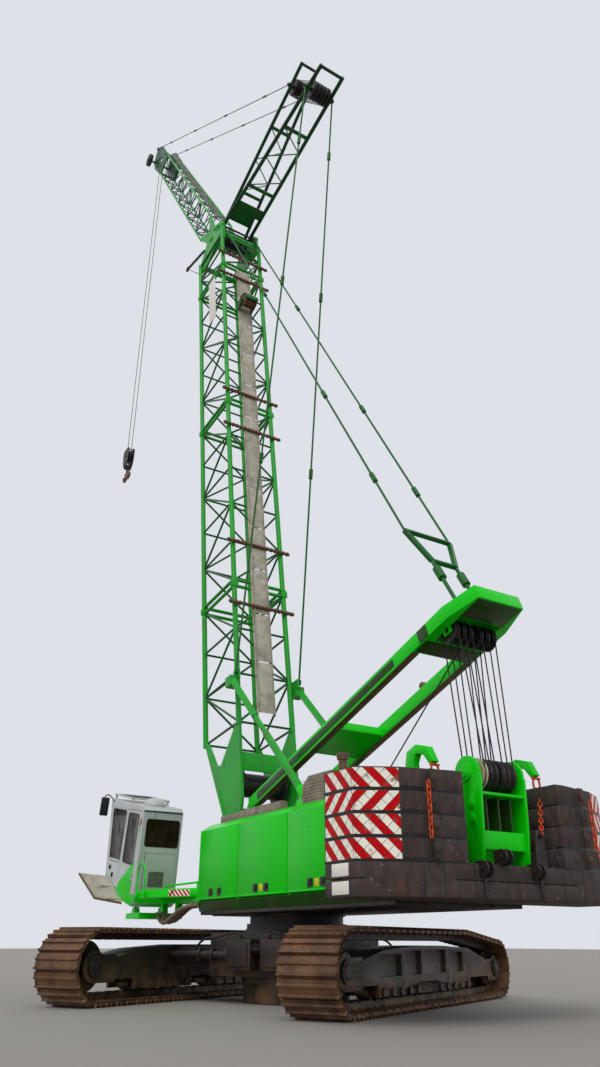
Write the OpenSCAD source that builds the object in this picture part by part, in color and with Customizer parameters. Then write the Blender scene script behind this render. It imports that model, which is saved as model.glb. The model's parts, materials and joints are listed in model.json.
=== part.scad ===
// Crawler crane with a lattice boom, a luffing jib and a stacked counterweight.
// Millimetres. The origin is on the ground under the slewing axis, +X is the way the boom
// points, +Y is the left side, where the cab is, and +Z is up.

/* [Crawlers] */
// Length of a crawler over its grousers
track_length = 7540; // [6500:10:9000]
// Height of a crawler over its grousers
track_height = 1190; // [1050:5:1400]
// Width of the track shoes
shoe_width = 955; // [700:5:1200]
// Distance between the two crawlers' centre lines
track_gauge = 4730; // [4200:10:5600]
// Pitch of the track shoes
shoe_pitch = 250; // [200:5:320]
// Thickness of a shoe's plate
shoe_plate = 45; // [30:1:70]
// Height of a grouser above its plate
grouser_height = 32; // [15:1:60]
// Height of the chain links under the shoes
link_height = 120; // [80:5:170]
// Width of the chain under the shoes
chain_width = 300; // [220:5:420]
// Radius of the low end of the track over its grousers
low_end_radius = 500; // [420:5:560]
// Distance from the middle to where the top run starts to fall
fall_start = 1450; // [800:10:2200]
// Radius of a track roller
roller_radius = 92; // [70:1:120]
// Distance between neighbouring track rollers
roller_step = 330; // [260:5:420]
// Width of the crawler side frame
side_frame_width = 640; // [520:10:760]
// Depth of the pockets in the side frame's outer face
pocket_depth = 70; // [30:5:150]
// Turn of the crawlers under the superstructure in degrees
crawler_turn = -62.6; // [-90:0.1:90]

/* [Carbody] */
// Width of the carbody's centre box
carbody_width = 2300; // [1900:10:2800]
// Height of the carbody's underside above the ground
carbody_low = 420; // [300:10:600]
// Height of the carbody's top plate
carbody_top = 1120; // [1000:10:1250]
// Radius of the slewing ring
slew_radius = 880; // [700:10:1100]
// Height of the slewing ring's top face
slew_top = 1400; // [1300:10:1500]

/* [Superstructure] */
// Front face of the side housings
house_front = 1645; // [1400:5:2000]
// Back face of the side housings
house_back = -4600; // [-5200:10:-4000]
// Half of the width over the housings
house_half_width = 1310; // [1200:5:1600]
// Half of the width of the middle bay between the housings
bay_half_width = 830; // [780:5:950]
// Height of the doors' lower edges
door_low = 1700; // [1600:5:1900]
// Height at which the sloping shoulder starts
shoulder_low = 3000; // [2800:5:3200]
// Height of the housing roofs
roof_top = 3140; // [3000:5:3400]
// Run of the sloping shoulder across the machine
shoulder_run = 240; // [120:5:350]
// Thickness of the housings' walls
house_wall = 50; // [30:5:80]
// Gap round each side door
door_gap = 22; // [20:1:30]
// Door seams counted from the front face, first one
door_seam_1 = 1635; // [1300:5:1900]
// Door seams counted from the front face, second one
door_seam_2 = 3425; // [3000:5:3800]
// Back edge of the third door counted from the front face
door_seam_3 = 4960; // [4600:5:5400]
// Height of the revolving frame's underside
deck_low = 1440; // [1400:10:1500]
// Height of the revolving frame's deck
deck_top = 1900; // [1800:10:2000]

/* [Counterweight] */
// Thickness of a stacked slab
slab_height = 288; // [220:2:380]
// Number of slabs on each side
slab_count = 4; // [2:1:6]
// Height of the groove between slabs
slab_groove = 12; // [8:1:30]
// Underside of the base plate
base_low = 1490; // [1400:5:1600]
// Height of each of the two base plates
base_plate = 211; // [150:1:260]
// Outer half width of the counterweight
weight_half_width = 2460; // [2200:10:2700]
// Inner half width between the two stacks
weight_inner = 930; // [860:10:1100]

/* [Boom] */
// Boom foot pin ahead of the slewing axis
foot_x = 1300; // [1100:10:1600]
// Boom foot pin above the ground
foot_z = 2700; // [2450:10:2850]
// Boom angle above the horizontal in degrees
boom_angle = 81.7; // [78:0.1:84]
// Distance from the foot pin to the boom head shaft
boom_length = 20300; // [19500:50:20900]
// Half of the distance between the left and right chords
chord_half_width = 690; // [600:5:800]
// Front chords ahead of the foot pin's plane
chord_front = 1262; // [1100:10:1400]
// Rear chords behind the foot pin's plane
chord_rear = -350; // [-450:10:-250]
// Diameter of the boom chords
chord_d = 128; // [90:2:160]
// Diameter of the boom lacing
lacing_d = 54; // [36:2:80]
// Length of the base section
base_section = 6100; // [5500:50:6500]
// Length of the head section
head_section = 2300; // [2000:50:2600]

/* [Mast] */
// Angle of the mast above the horizontal, leaning back, in degrees
mast_angle = 19.2; // [15:0.1:22]
// Distance from the foot pin to the end of the mast head
mast_length = 7950; // [7500:50:8400]
// Height of the mast legs' centre line over the foot pin's line
mast_rise = 600; // [580:10:700]
// Half of the distance between the mast legs
mast_half_width = 570; // [560:5:600]
// Depth of a mast leg
mast_depth = 240; // [200:10:320]
// Width of a mast leg
mast_leg_width = 150; // [120:10:200]

/* [Jib] */
// Jib foot pin ahead of the boom head shaft, square to the boom
jib_foot_out = 520; // [450:10:600]
// Jib angle above the horizontal in degrees
jib_angle = 58.6; // [54:0.1:62]
// Distance from the jib foot pin to the jib head shaft
jib_length = 14900; // [13500:50:15500]
// Half of the distance between the jib's side chords
jib_half_width = 400; // [340:5:470]
// Depth of the jib between its chords
jib_depth = 930; // [750:10:1050]
// Front chords of the jib ahead of its foot pin
jib_front = 560; // [400:10:700]
// Hoist shaft ahead of the jib foot pin's line
hoist_out = 480; // [430:10:530]
// Diameter of the jib chords
jib_chord_d = 76; // [56:2:100]
// Diameter of the jib lacing
jib_lacing_d = 38; // [26:2:56]
// Length of the front strut
front_strut = 6150; // [5400:50:6600]
// Angle of the front strut above the horizontal, leaning back, in degrees
front_strut_angle = 30.5; // [28:0.1:34]
// Length of the rear strut
rear_strut = 6150; // [5400:50:6600]
// Angle of the rear strut above the horizontal, leaning back, in degrees
rear_strut_angle = 12.3; // [9:0.1:14]

/* [Hook] */
// Length of the hoist falls below the jib head shaft
fall_length = 16500; // [12000:50:20000]
// Diameter of a hoist rope
rope_d = 24; // [18:1:32]

/* [Cab] */
// Backward tilt of the cab in degrees
cab_tilt = 10; // [0:0.5:15]
// Width of the cab
cab_width = 950; // [850:5:1100]
// Thickness of the cab's walls
cab_wall = 50; // [30:2:70]
// Tilting pin ahead of the slewing axis
cab_pin_x = 3790; // [3650:10:3900]
// Tilting pin above the ground
cab_pin_z = 1590; // [1560:10:1700]
// Cab's outer face from the slewing axis
cab_outer = 1900; // [1800:5:2050]

/* [Hidden] */

GREEN = [0.18, 0.75, 0.2];
DARK_GREEN = [0.1, 0.35, 0.15];
BROWN = [0.36, 0.25, 0.18];
IRON = [0.22, 0.2, 0.2];
BALLAST = [0.22, 0.18, 0.19];
GREY = [0.73, 0.74, 0.74];
TAN = [0.7, 0.66, 0.56];
DARK = [0.12, 0.12, 0.13];

round_fn = 32;
tube_fn = 24;
lace_fn = 6;
chord_fn = 12;
chord_tail = 70;
running = 0.3;
clear = 6;

// Helpers

// A round bar from point a to point b
module rod(a, b, d, sides = lace_fn) {
    v = b - a;
    translate(a)
        rotate([0, acos(v.z / norm(v)), atan2(v.y, v.x)])
            cylinder(d = d, h = norm(v), $fn = sides);
}

// A disc or drum lying across the machine, centred at c
module drum(c, r, w, sides = round_fn) {
    translate(c) rotate([90, 0, 0]) cylinder(r = r, h = w, center = true, $fn = sides);
}

// A side view outline in X and Z, given its width across the machine
module slab(outline, w, y = 0) {
    translate([0, y + w / 2, 0]) rotate([90, 0, 0]) linear_extrude(w) polygon(outline);
}

// A plan outline in X and Y between two heights
module plan(outline, low, high) {
    translate([0, 0, low]) linear_extrude(high - low) polygon(outline);
}

module block(low, high) {
    translate(low) cube(high - low);
}

module both_sides() {
    children();
    mirror([0, 1, 0]) children();
}

// Crawler track: a belt round four circles, clockwise seen from the right

link_line = shoe_plate + grouser_height;
end_r = track_height / 2 - link_line;
low_r = low_end_radius - link_line;
end_x = track_length / 2 - track_height / 2;
low_x = track_length / 2 - low_end_radius;
low_lift = 25;
belt = [
    [-end_x, track_height / 2, end_r],
    [fall_start, track_height / 2, end_r],
    [low_x, low_end_radius + low_lift, low_r],
    [low_x - 650, track_height / 2, end_r]
];
function wrap(i) = i % len(belt);
function gap_of(i) = let (a = belt[wrap(i)], b = belt[wrap(i + 1)]) [b.x - a.x, b.y - a.y];
// Direction of the outward normal on the run from circle i to the next
function out_angle(i) =
    let (v = gap_of(i), k = (belt[wrap(i)].z - belt[wrap(i + 1)].z) / norm(v))
    atan2(v.y, v.x) + 90 - asin(k);
function run_length(i) =
    let (v = gap_of(i), k = belt[wrap(i)].z - belt[wrap(i + 1)].z) sqrt(v * v - k * k);
function turned(i) = (out_angle(wrap(i + len(belt) - 1)) - out_angle(i) + 720) % 360;
function arc_length(i) = turned(i) * PI / 180 * belt[i].z;
function belt_total(i = 0) =
    i == len(belt) ? 0 : arc_length(i) + run_length(i) + belt_total(i + 1);
// Point at distance s along the belt: x, z and the outward direction
function belt_at(s, i = 0) =
    let (c = belt[i], a1 = out_angle(i), arc = arc_length(i), run = run_length(i))
    s < arc ? let (a = a1 + turned(i) - s / arc * turned(i))
        [c.x + c.z * cos(a), c.y + c.z * sin(a), a]
    : s < arc + run || i == len(belt) - 1 ?
        [c.x + c.z * cos(a1) + (s - arc) * sin(a1), c.y + c.z * sin(a1) - (s - arc) * cos(a1), a1]
    : belt_at(s - arc - run, i + 1);
function off_belt(p, along, out) =
    [p.x + along * sin(p.z) + out * cos(p.z), p.y - along * cos(p.z) + out * sin(p.z)];

belt_length = belt_total();
shoe_count = round(belt_length / shoe_pitch);
shoe_step = belt_length / shoe_count;
// One shoe in shares of the pitch along the track and shares of plate and grouser outwards
shoe_shape = [
    [-0.47, 0.2, 0], [-0.45, 1, 0.9], [-0.37, 1, 1], [-0.31, 1, 0],
    [0.07, 1, 0], [0.12, 1, 1], [0.2, 1, 1], [0.47, 1, 0]
];
shoe_outline = [
    for (i = [0:shoe_count - 1], q = shoe_shape)
        off_belt(belt_at((i + 0.5) * shoe_step), q.x * shoe_step, q.y * shoe_plate + q.z * grouser_height)
];
// The inner and outer faces of the rings have points on the arcs alone
function arc_steps(i) = max(1, round(turned(i) / arc_step));
function ring_outline(out) = [
    for (i = [0:len(belt) - 1], k = [0:arc_steps(i)])
        let (a = out_angle(i) + turned(i) * (1 - k / arc_steps(i)))
        [belt[i].x + (belt[i].z + out) * cos(a), belt[i].y + (belt[i].z + out) * sin(a)]
];
arc_step = 11;
shoe_seat = 12;

module track() {
    color(BROWN) difference() {
        slab(shoe_outline, shoe_width);
        slab(ring_outline(-shoe_seat), shoe_width + 2);
    }
    color(IRON) difference() {
        slab(ring_outline(-shoe_seat / 2), chain_width);
        slab(ring_outline(-link_height), chain_width + 2);
    }
}

roller_z = link_line + link_height + roller_radius + running;
wheel_r = end_r - link_height - 5;
low_wheel_r = low_r - link_height - 5;
wheel_width = chain_width - 60;
skirt = 60;
rollers = [for (g = [-1, 1], i = [-2:2]) g * 1150 - 150 + i * roller_step];
beam_low = roller_z + roller_radius + 12;
beam_top = track_height - link_line - link_height - 70;

module track_wheels() {
    color(IRON) {
        drum([-end_x, 0, track_height / 2], wheel_r, wheel_width);
        drum([-end_x, 0, track_height / 2], 150, side_frame_width + 70);
        drum([low_x, 0, low_end_radius + low_lift], low_wheel_r, wheel_width);
        drum([low_x, 0, low_end_radius + low_lift], 140, side_frame_width + 90);
    }
    color(BROWN) for (x = rollers) {
        drum([x, 0, roller_z], roller_radius, wheel_width - 20, tube_fn);
        drum([x, 0, roller_z], 55, side_frame_width + 60, 12);
    }
}

beam_ends = [-end_x + end_r - 40, low_x - low_r + 60];
beam_outline = [
    [beam_ends[0], beam_low], [beam_ends[1], beam_low], [beam_ends[1], beam_low + 260],
    [fall_start + 350, beam_top - 40], [500, beam_top], [-700, beam_top],
    [-1900, beam_top - 60], [beam_ends[0], beam_top - 200]
];
pockets = [
    [[-2150, 500], [-1250, 800]], [[-1100, 500], [-450, 850]],
    [[-300, 500], [650, 860]], [[800, 500], [1500, 820]]
];

module cheek(x, z, r, to) {
    drum([x, 0, z], r, skirt, round_fn);
    block([min(x, to), -skirt / 2, z - r], [max(x, to), skirt / 2, z + r * 0.72]);
}

module crawler_frame(side) {
    color(IRON) difference() {
        union() {
            slab(beam_outline, side_frame_width);
            for (s = [-1, 1]) translate([0, s * (side_frame_width - skirt) / 2, 0]) {
                difference() {
                    union() {
                        cheek(-end_x, track_height / 2, 250, beam_ends[0] + 60);
                        cheek(low_x, low_end_radius + low_lift, 215, beam_ends[1] - 60);
                        for (g = [0, 1])
                            block([rollers[g * 5] - 170, -skirt / 2, roller_z - 60],
                                  [rollers[g * 5 + 4] + 170, skirt / 2, beam_low + 10]);
                    }
                    drum([-end_x, 0, track_height / 2], 150 + running, skirt + 2);
                    drum([low_x, 0, low_end_radius + low_lift], 140 + running, skirt + 2);
                    for (x = rollers) drum([x, 0, roller_z], 55 + running, skirt + 2, 12);
                }
            }
        }
        for (p = pockets)
            block([p[0].x, side * (side_frame_width / 2 - pocket_depth) - (side < 0 ? 200 : 0), p[0].y],
                  [p[1].x, side * (side_frame_width / 2 - pocket_depth) + (side < 0 ? 0 : 200), p[1].y]);
    }
}

module on_crawlers() {
    rotate([0, 0, crawler_turn]) children();
}

module track_left() on_crawlers() translate([0, track_gauge / 2, 0]) track();
module track_right() on_crawlers() translate([0, -track_gauge / 2, 0]) track();
module track_wheels_left() on_crawlers() translate([0, track_gauge / 2, 0]) track_wheels();
module track_wheels_right() on_crawlers() translate([0, -track_gauge / 2, 0]) track_wheels();
module crawler_frame_left() on_crawlers() translate([0, track_gauge / 2, 0]) crawler_frame(1);
module crawler_frame_right() on_crawlers() translate([0, -track_gauge / 2, 0]) crawler_frame(-1);

// Carbody

cross_beam_x = 780;
cross_beam_width = 520;
frame_face = track_gauge / 2 - side_frame_width / 2;

module carbody() {
    color(IRON) on_crawlers() {
        block([-carbody_width / 2, -carbody_width / 2, carbody_low], [carbody_width / 2, carbody_width / 2, carbody_top]);
        for (s = [-1, 1])
            block([s * cross_beam_x - cross_beam_width / 2, -frame_face, carbody_low + 60],
                  [s * cross_beam_x + cross_beam_width / 2, frame_face, beam_top - 40]);
        for (s = [-1, 1], k = [-1, 1])
            rod([s * (cross_beam_x + 420), k * frame_face, 760], [s * (cross_beam_x + 420), k * 600, 760], 130, tube_fn);
        cylinder(r = slew_radius + 90, h = carbody_top + 60, $fn = 64);
    }
}

module slewing_ring() {
    color(IRON) translate([0, 0, carbody_top + 60]) difference() {
        union() {
            cylinder(r = slew_radius, h = slew_top - carbody_top - 60, $fn = 64);
            cylinder(r = slew_radius + 60, h = 90, $fn = 64);
        }
        translate([0, 0, -1]) cylinder(r = slew_radius - 180, h = slew_top, $fn = 64);
    }
}

// Revolving frame and what stands on it

lug_y = [430, 520];
boom_lug_r = 190;
pin_r = 70;

deck_plate = 60;

module revolving_frame() {
    color(IRON) difference() {
        union() {
            translate([0, 0, slew_top + running]) cylinder(r = slew_radius + 40, h = deck_low - slew_top + 20, $fn = 64);
            block([house_back, -house_half_width + 60, deck_low], [house_front - 60, house_half_width - 60, deck_low + deck_plate]);
            both_sides() {
                block([w_front + running, 600, deck_low], [house_front + 500, 700, deck_top]);
                slab([
                    [foot_x - 700, deck_low], [foot_x + 500, deck_low], [foot_x + 400, deck_top],
                    [foot_x + boom_lug_r, foot_z - 40], [foot_x + 100, foot_z + 150],
                    [foot_x - 100, foot_z + 150], [foot_x - boom_lug_r, foot_z - 40], [foot_x - 600, deck_top]
                ], lug_y[1] - lug_y[0], (lug_y[0] + lug_y[1]) / 2);
                block([foot_x - 600, lug_y[0], deck_low], [foot_x + 400, 640, deck_low + 100]);
            }
            block([house_back, -600, deck_low], [house_front + 440, 600, deck_low + deck_plate]);
        }
        translate([0, 0, slew_top - 10]) cylinder(r = slew_radius - 260, h = 400, $fn = 64);
    }
    color(IRON) drum([foot_x, 0, foot_z], pin_r, 2 * 800, round_fn);
}

// Outline across the machine of a housing's outer skin, left side
skin = [
    [house_half_width, door_low], [house_half_width, shoulder_low],
    [house_half_width - shoulder_run, roof_top], [house_half_width - shoulder_run - 60, roof_top]
];
door_edges = [
    house_front - house_wall, house_front - door_seam_1, house_front - door_seam_2, house_front - door_seam_3
];
belly_low = deck_low + deck_plate + running;

// Extrude an outline in Y and Z from x0 to x1
module along_x(outline, x0, x1) {
    translate([x0, 0, 0]) rotate([90, 0, 90]) linear_extrude(x1 - x0) polygon(outline);
}

post_width = 30;
house_outline = [
    [bay_half_width, belly_low], [house_half_width - 60, belly_low],
    [house_half_width, door_low - door_gap], [house_half_width, shoulder_low],
    [house_half_width - shoulder_run, roof_top], [bay_half_width, roof_top]
];
house_hollow = [
    [bay_half_width + house_wall, deck_low + 130], [house_half_width + 200, deck_low + 130],
    [house_half_width + 200, roof_top + 50], [house_half_width - shoulder_run - 60 - door_gap, roof_top + 50],
    [house_half_width - shoulder_run - 60 - door_gap, roof_top - house_wall],
    [bay_half_width + house_wall, roof_top - house_wall]
];
sill_outline = [
    [house_half_width - 110, belly_low], [house_half_width - 60, belly_low],
    [house_half_width, door_low - door_gap], [house_half_width - 50, door_low - door_gap]
];

door_skin = 40;

// Door frame rib that the doors' inner faces close against
rib_edge = house_half_width - door_skin - running;
rib_depth = 60;
rib_outline = [
    [rib_edge - rib_depth, deck_low + 100], [rib_edge, deck_low + 100], [rib_edge, shoulder_low - 24],
    [house_half_width - shoulder_run - 2, roof_top - 43], [house_half_width - shoulder_run - 58, roof_top - 40],
    [house_half_width - shoulder_run - 100, roof_top - 40], [house_half_width - shoulder_run - 100, roof_top - 90],
    [house_half_width - shoulder_run - 30, roof_top - 100], [rib_edge - rib_depth, shoulder_low - 60]
];

module housing() {
    color(GREEN) {
        difference() {
            along_x(house_outline, house_back, house_front);
            along_x(house_hollow, house_back + house_wall, house_front - house_wall);
        }
        along_x(sill_outline, house_back + 10, house_front - 10);
        along_x(door_outline(), house_back + 10, door_edges[3] - door_gap / 2);
        rod(stop_foot + stop_axis * clear, stop_foot + stop_axis * 260, 170, tube_fn);
        block([stop_foot.x - 230, bay_half_width + 10, roof_top - 20], [stop_foot.x + 20, stop_y + 60, roof_top + 130]);
        for (i = [1, 2, 3]) along_x(rib_outline, door_edges[i] - post_width, door_edges[i] + post_width);
    }
}

function door_outline() = [
    [house_half_width, door_low], [house_half_width, shoulder_low],
    [house_half_width - shoulder_run, roof_top], [house_half_width - shoulder_run - 55, roof_top],
    [house_half_width - shoulder_run - 55, roof_top - 35],
    [house_half_width - shoulder_run + 2, roof_top - 42],
    [house_half_width - door_skin, shoulder_low - 22], [house_half_width - door_skin, door_low]
];

module side_door(i) {
    color(GREEN) along_x(door_outline(), door_edges[i] + door_gap / 2, door_edges[i - 1] - door_gap / 2);
}

module housing_left() housing();
module housing_right() mirror([0, 1, 0]) housing();
module door_left_1() side_door(1);
module door_left_2() side_door(2);
module door_left_3() side_door(3);
module door_right_1() mirror([0, 1, 0]) side_door(1);
module door_right_2() mirror([0, 1, 0]) side_door(2);
module door_right_3() mirror([0, 1, 0]) side_door(3);

module engine_block() {
    color(DARK) block([house_back + 250, -580, deck_low + deck_plate + running], [-2100, 580, 2900]);
}

winch_x = [-350, -1350];
winch_r = 260;

module deck_winches() {
    color(DARK) for (x = winch_x) {
        drum([x, 0, deck_top + 330], winch_r, 840);
        for (s = [-1, 1]) {
            drum([x, s * 430, deck_top + 330], winch_r + 120, 40);
            block([x - 260, s * 505 - 40, deck_low + deck_plate + running], [x + 260, s * 505 + 40, deck_top + 420]);
        }
        drum([x, 0, deck_top + 330], 90, 1000);
    }
}

roof_edge = house_half_width - shoulder_run - 60 - door_gap;

module roof_boxes() {
    color(GREY) both_sides() {
        block([-1000, bay_half_width + 10, roof_top + running], [550, roof_edge, roof_top + 170]);
    }
    color(TAN) difference() {
        slab([[-2650, roof_top + running], [-1750, roof_top + running], [-1750, roof_top + 330],
              [-1950, roof_top + 480], [-2650, roof_top + 480]], 250, roof_edge - 125);
        for (i = [0:4])
            block([-2660, roof_edge - 220, roof_top + 90 + 75 * i], [-2630, roof_edge - 30, roof_top + 120 + 75 * i]);
    }
}

module exhaust_stack() {
    color(BROWN) {
        rod([-2900, 900, roof_top + running], [-2900, 900, roof_top + 620], 150, tube_fn);
        rod([-2900, 900, roof_top + 620], [-2900, 900, roof_top + 720], 200, tube_fn);
    }
}

// Counterweight

w_front = -4650;
base_top = base_low + 2 * base_plate + slab_groove;
stack_low = base_top + running;
weight_side = [
    [w_front, weight_half_width], [-5340, weight_half_width], [-5640, weight_half_width - 550],
    [-5830, weight_half_width - 1360]
];
stack_plan = concat(
    [[w_front, house_half_width + 30]], weight_side,
    [[-5830, weight_inner], [-5240, weight_inner], [w_front - 130, weight_inner + 60], [w_front - 130, house_half_width + 30]]
);
base_plan = concat(
    weight_side, [for (i = [len(weight_side) - 1:-1:0]) [weight_side[i].x, -weight_side[i].y]]
);
groove_in = 25;

module counterweight_base() {
    color(BALLAST) {
        for (i = [0, 1]) {
            low = base_low + i * (base_plate + slab_groove);
            plan(base_plan, low, low + base_plate);
        }
        intersection() {
            plan(base_plan, base_low + 20, base_top - 20);
            block([-5830 + groove_in, -weight_half_width + 125, base_low],
                  [w_front - groove_in, weight_half_width - 125, base_top]);
        }
    }
}

// Slot in a slab's lower edge, across the machine
slab_slot = [1540, 1890];

module weight_stack() {
    color(BALLAST) for (i = [0:slab_count - 1]) {
        low = stack_low + i * (slab_height + slab_groove);
        difference() {
            plan(stack_plan, low, low + slab_height);
            block([-5830, slab_slot[0], low - 1], [-5610, slab_slot[1], low + 40]);
        }
        if (i < slab_count - 1) intersection() {
            plan(stack_plan, low + 10, low + slab_height + slab_groove + 10);
            block([-5830 + 60, weight_inner + groove_in, low], [w_front - 40, weight_half_width - 60, low + 2 * slab_height]);
        }
    }
}

module counterweight_left() weight_stack();
module counterweight_right() mirror([0, 1, 0]) weight_stack();

weight_top = stack_low + slab_count * slab_height + (slab_count - 1) * slab_groove;

// Lower sheave block of the mast hoist

block_x = -5420;
block_axis_z = 3200;
lower_sheave_r = 235;
block_plate = 45;
block_y = 440;
fall_pitch = 105;
fall_first = 75;

module lower_sheave_block() {
    color(GREEN) {
        both_sides() {
            slab([
                [block_x - 190, base_top + running], [block_x + 190, base_top + running],
                [block_x + 280, 2450], [block_x + 270, block_axis_z - 40], [block_x - 270, block_axis_z - 40], [block_x - 240, 2450]
            ], block_plate, block_y);
            drum([block_x, block_y, block_axis_z], 250, block_plate);
            drum([block_x, block_y + 20, block_axis_z], 110, block_plate + 20);
            for (z = [2560, 2760]) drum([block_x - 60, block_y + 10, z], 60, block_plate + 10, tube_fn);
        }
        block([block_x - 240, -block_y, 2880], [block_x + 200, block_y, 2920]);
        block([block_x + 120, -block_y, 2100], [block_x + 160, block_y, 2900]);
        // Ribs in the recess under the skirt
        for (y = [-240, 0, 240]) block([block_x - 120, y - 15, 2200], [block_x + 130, y + 15, 2890]);
        block([block_x - 150, -block_y, 2150], [block_x - 120, block_y, 2400]);
    }
    color(DARK) drum([block_x, 0, block_axis_z], 60, 2 * block_y + 140);
}

module lower_sheaves() {
    color(DARK) for (s = [-1, 1], i = [0:2])
        difference() {
            drum([block_x, s * (fall_first + i * fall_pitch), block_axis_z], lower_sheave_r, 80);
            drum([block_x, s * (fall_first + i * fall_pitch), block_axis_z], 60 + running, 120);
        }
}

module ballast_arms() {
    color(GREEN) both_sides() {
        slab([
            [-4990, weight_top + running], [-4790, weight_top + running], [-4780, weight_top + 200],
            [-4830, weight_top + 420], [-5050, weight_top + 500], [-5300, weight_top + 430],
            [-5420, weight_top + 200], [-5330, weight_top + 170], [-5200, weight_top + 330],
            [-5040, weight_top + 360], [-4980, weight_top + 250]
        ], 120, 1030);
    }
}

// Platform that carries the cab, ahead of the left housing

platform_low = 1690;
cab_lift = [-140, 125];
lug_r = 48;
lug_half = 300;

module cab_platform() {
    color(GREEN) {
        for (y = [900, 1240]) {
            block([house_front + running, y - 60, platform_low], [beam_end, y + 60, platform_low + 160]);
            block([beam_end - 130, y - 60, carrier_low], [beam_end, y + 60, platform_low + 160]);
        }
        block([beam_end - 130, 840, carrier_low], [beam_end, cab_outer - 60, carrier_top]);
        block([beam_end - 20, 1020, carrier_low], [cab_pin_x + 260, cab_outer - 60, carrier_top]);
        for (s = [-1, 1], k = [-1, 1])
            translate([0, cab_mid + s * lug_half + k * (cheek_t + lug_t) / 2 + k * clear, 0])
                slab([[cab_pin_x - 110, carrier_top - 20], [cab_pin_x + 110, carrier_top - 20],
                      [cab_pin_x + 50, cab_pin_z + 45], [cab_pin_x - 50, cab_pin_z + 45]], cheek_t);
        rod([house_front + running, 1240, platform_low + 360], [beam_end - 40, 1240, platform_low + 360], 42, tube_fn);
        for (x = [house_front + 160, beam_end - 60])
            rod([x, 1240, platform_low + 100], [x, 1240, platform_low + 380], 42, tube_fn);
    }
    color(DARK) for (s = [-1, 1])
        drum([cab_pin_x, cab_mid + s * lug_half, cab_pin_z], 24, 2 * cheek_t + lug_t + 4 * clear, tube_fn);
}

cab_mid = cab_outer - cab_width / 2;
lug_t = 50;
cheek_t = 25;
beam_end = cab_pin_x - 330;
carrier_top = cab_pin_z - 75;
carrier_low = carrier_top - 110;

// Cab, drawn level with its tilting pin at the origin, then tilted back

cab_side = [
    [-60, 20], [60, -60], [1660, 60], [1880, 360], [2200, 1960], [2140, 2060], [160, 1990], [60, 1900]
];
cab_inside = [
    [-10, 60], [80, 0], [1620, 120], [1820, 400], [2130, 1940], [2090, 1990], [190, 1930], [110, 1850]
];
window_low = 420;
window_high = 1880;
function front_x(z) = 1880 + (z - 360) * (2200 - 1880) / (1960 - 360);
function rear_x(z) = -60 + (z - 20) * 120 / 1880;
function floor_z(x) = (x - 80) * 120 / 1540;
door_x = [180, 1010];
door_z = [130, 1880];

module on_cab_pin() {
    translate([cab_pin_x, cab_mid, cab_pin_z]) rotate([0, -cab_tilt, 0]) children();
}

module on_cab() {
    on_cab_pin() translate([cab_lift.x, 0, cab_lift.y]) children();
}

hinge_at = [door_x[0] + 2, cab_width / 2 + 14];
hinge_r = 12;
knuckle = 60;
hinge_low = [420, 1500];

// Hinge knuckle with its leaf towards +X or -X
module knuckle_at(z, h, to) {
    translate([hinge_at.x, hinge_at.y, z]) cylinder(r = hinge_r, h = h, $fn = tube_fn);
    block([min(0, to * 34) + hinge_at.x, cab_width / 2 - 1, z], [max(0, to * 34) + hinge_at.x, hinge_at.y + 6, z + h]);
}

module cab_shell() {
    color(GREY) on_cab() for (z = hinge_low, k = [0, 2]) knuckle_at(z + k * knuckle + k * running / 2, knuckle - running, -1);
    color(DARK_GREEN) on_cab_pin() for (s = [-1, 1]) difference() {
        slab([[-lug_r, 0], [-lug_r * 0.6, -lug_r * 0.8], [lug_r * 0.6, -lug_r * 0.8], [lug_r, 0],
              [lug_r, cab_lift.y - 30], [-lug_r, cab_lift.y - 30]], lug_t, s * lug_half);
        drum([0, s * lug_half, 0], 24.3, lug_t + 2, tube_fn);
    }
    color(GREY) on_cab() difference() {
        slab(cab_side, cab_width);
        slab(cab_inside, cab_width - 2 * cab_wall);
        // Doorway
        block([door_x[0], cab_width / 2 - cab_wall - 5, door_z[0]], [door_x[1], cab_width / 2 + 5, door_z[1]]);
        // Tall front side window, left, and its twin on the right
        for (s = [-1, 1])
            slab(side_window, cab_wall + 10, s * (cab_width - cab_wall) / 2);
        slab(far_window, cab_wall + 10, -(cab_width - cab_wall) / 2);
        // Windscreen
        slab([[1700, window_low], [2000, window_low], [2300, window_high], [2000, window_high]], screen_width);
        // Rear window
        block([-100, -310, rear_window[0]], [160, 310, rear_window[1]]);
    }
}

pane = 12;
screen_width = cab_width - 2 * cab_wall - 60;
rear_window = [1100, 1720];
side_window = [[1120, 420], [1700, 420], [1960, 1820], [1120, 1820]];
far_window = [[door_x[0], 700], [1040, 700], [1040, 1820], [door_x[0], 1820]];

// A sloping pane between two heights, its foot at x0 and its top at x1
module sloping_pane(z0, z1, x0, x1, w) {
    slab([[x0, z0 + running], [x0 + pane, z0 + running], [x1 + pane, z1 - running], [x1, z1 - running]], w - 2 * running);
}

module cab_glass() {
    color([0.1, 0.12, 0.13]) on_cab() {
        for (s = [-1, 1])
            slab([for (q = side_window) [q.x + (q.x > 1200 ? -running : running), q.y + (q.y > 1000 ? -running : running)]],
                 pane, s * (cab_width / 2 - 25));
        slab([for (q = far_window) [q.x + (q.x > 600 ? -running : running), q.y + (q.y > 1000 ? -running : running)]],
             pane, -(cab_width / 2 - 25));
        sloping_pane(window_low, window_high, front_x(window_low) - 40, front_x(window_high) - 40, screen_width);
        sloping_pane(rear_window[0], rear_window[1], rear_x(rear_window[0]) + 18, rear_x(rear_window[1]) + 18, 620);
    }
}

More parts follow.
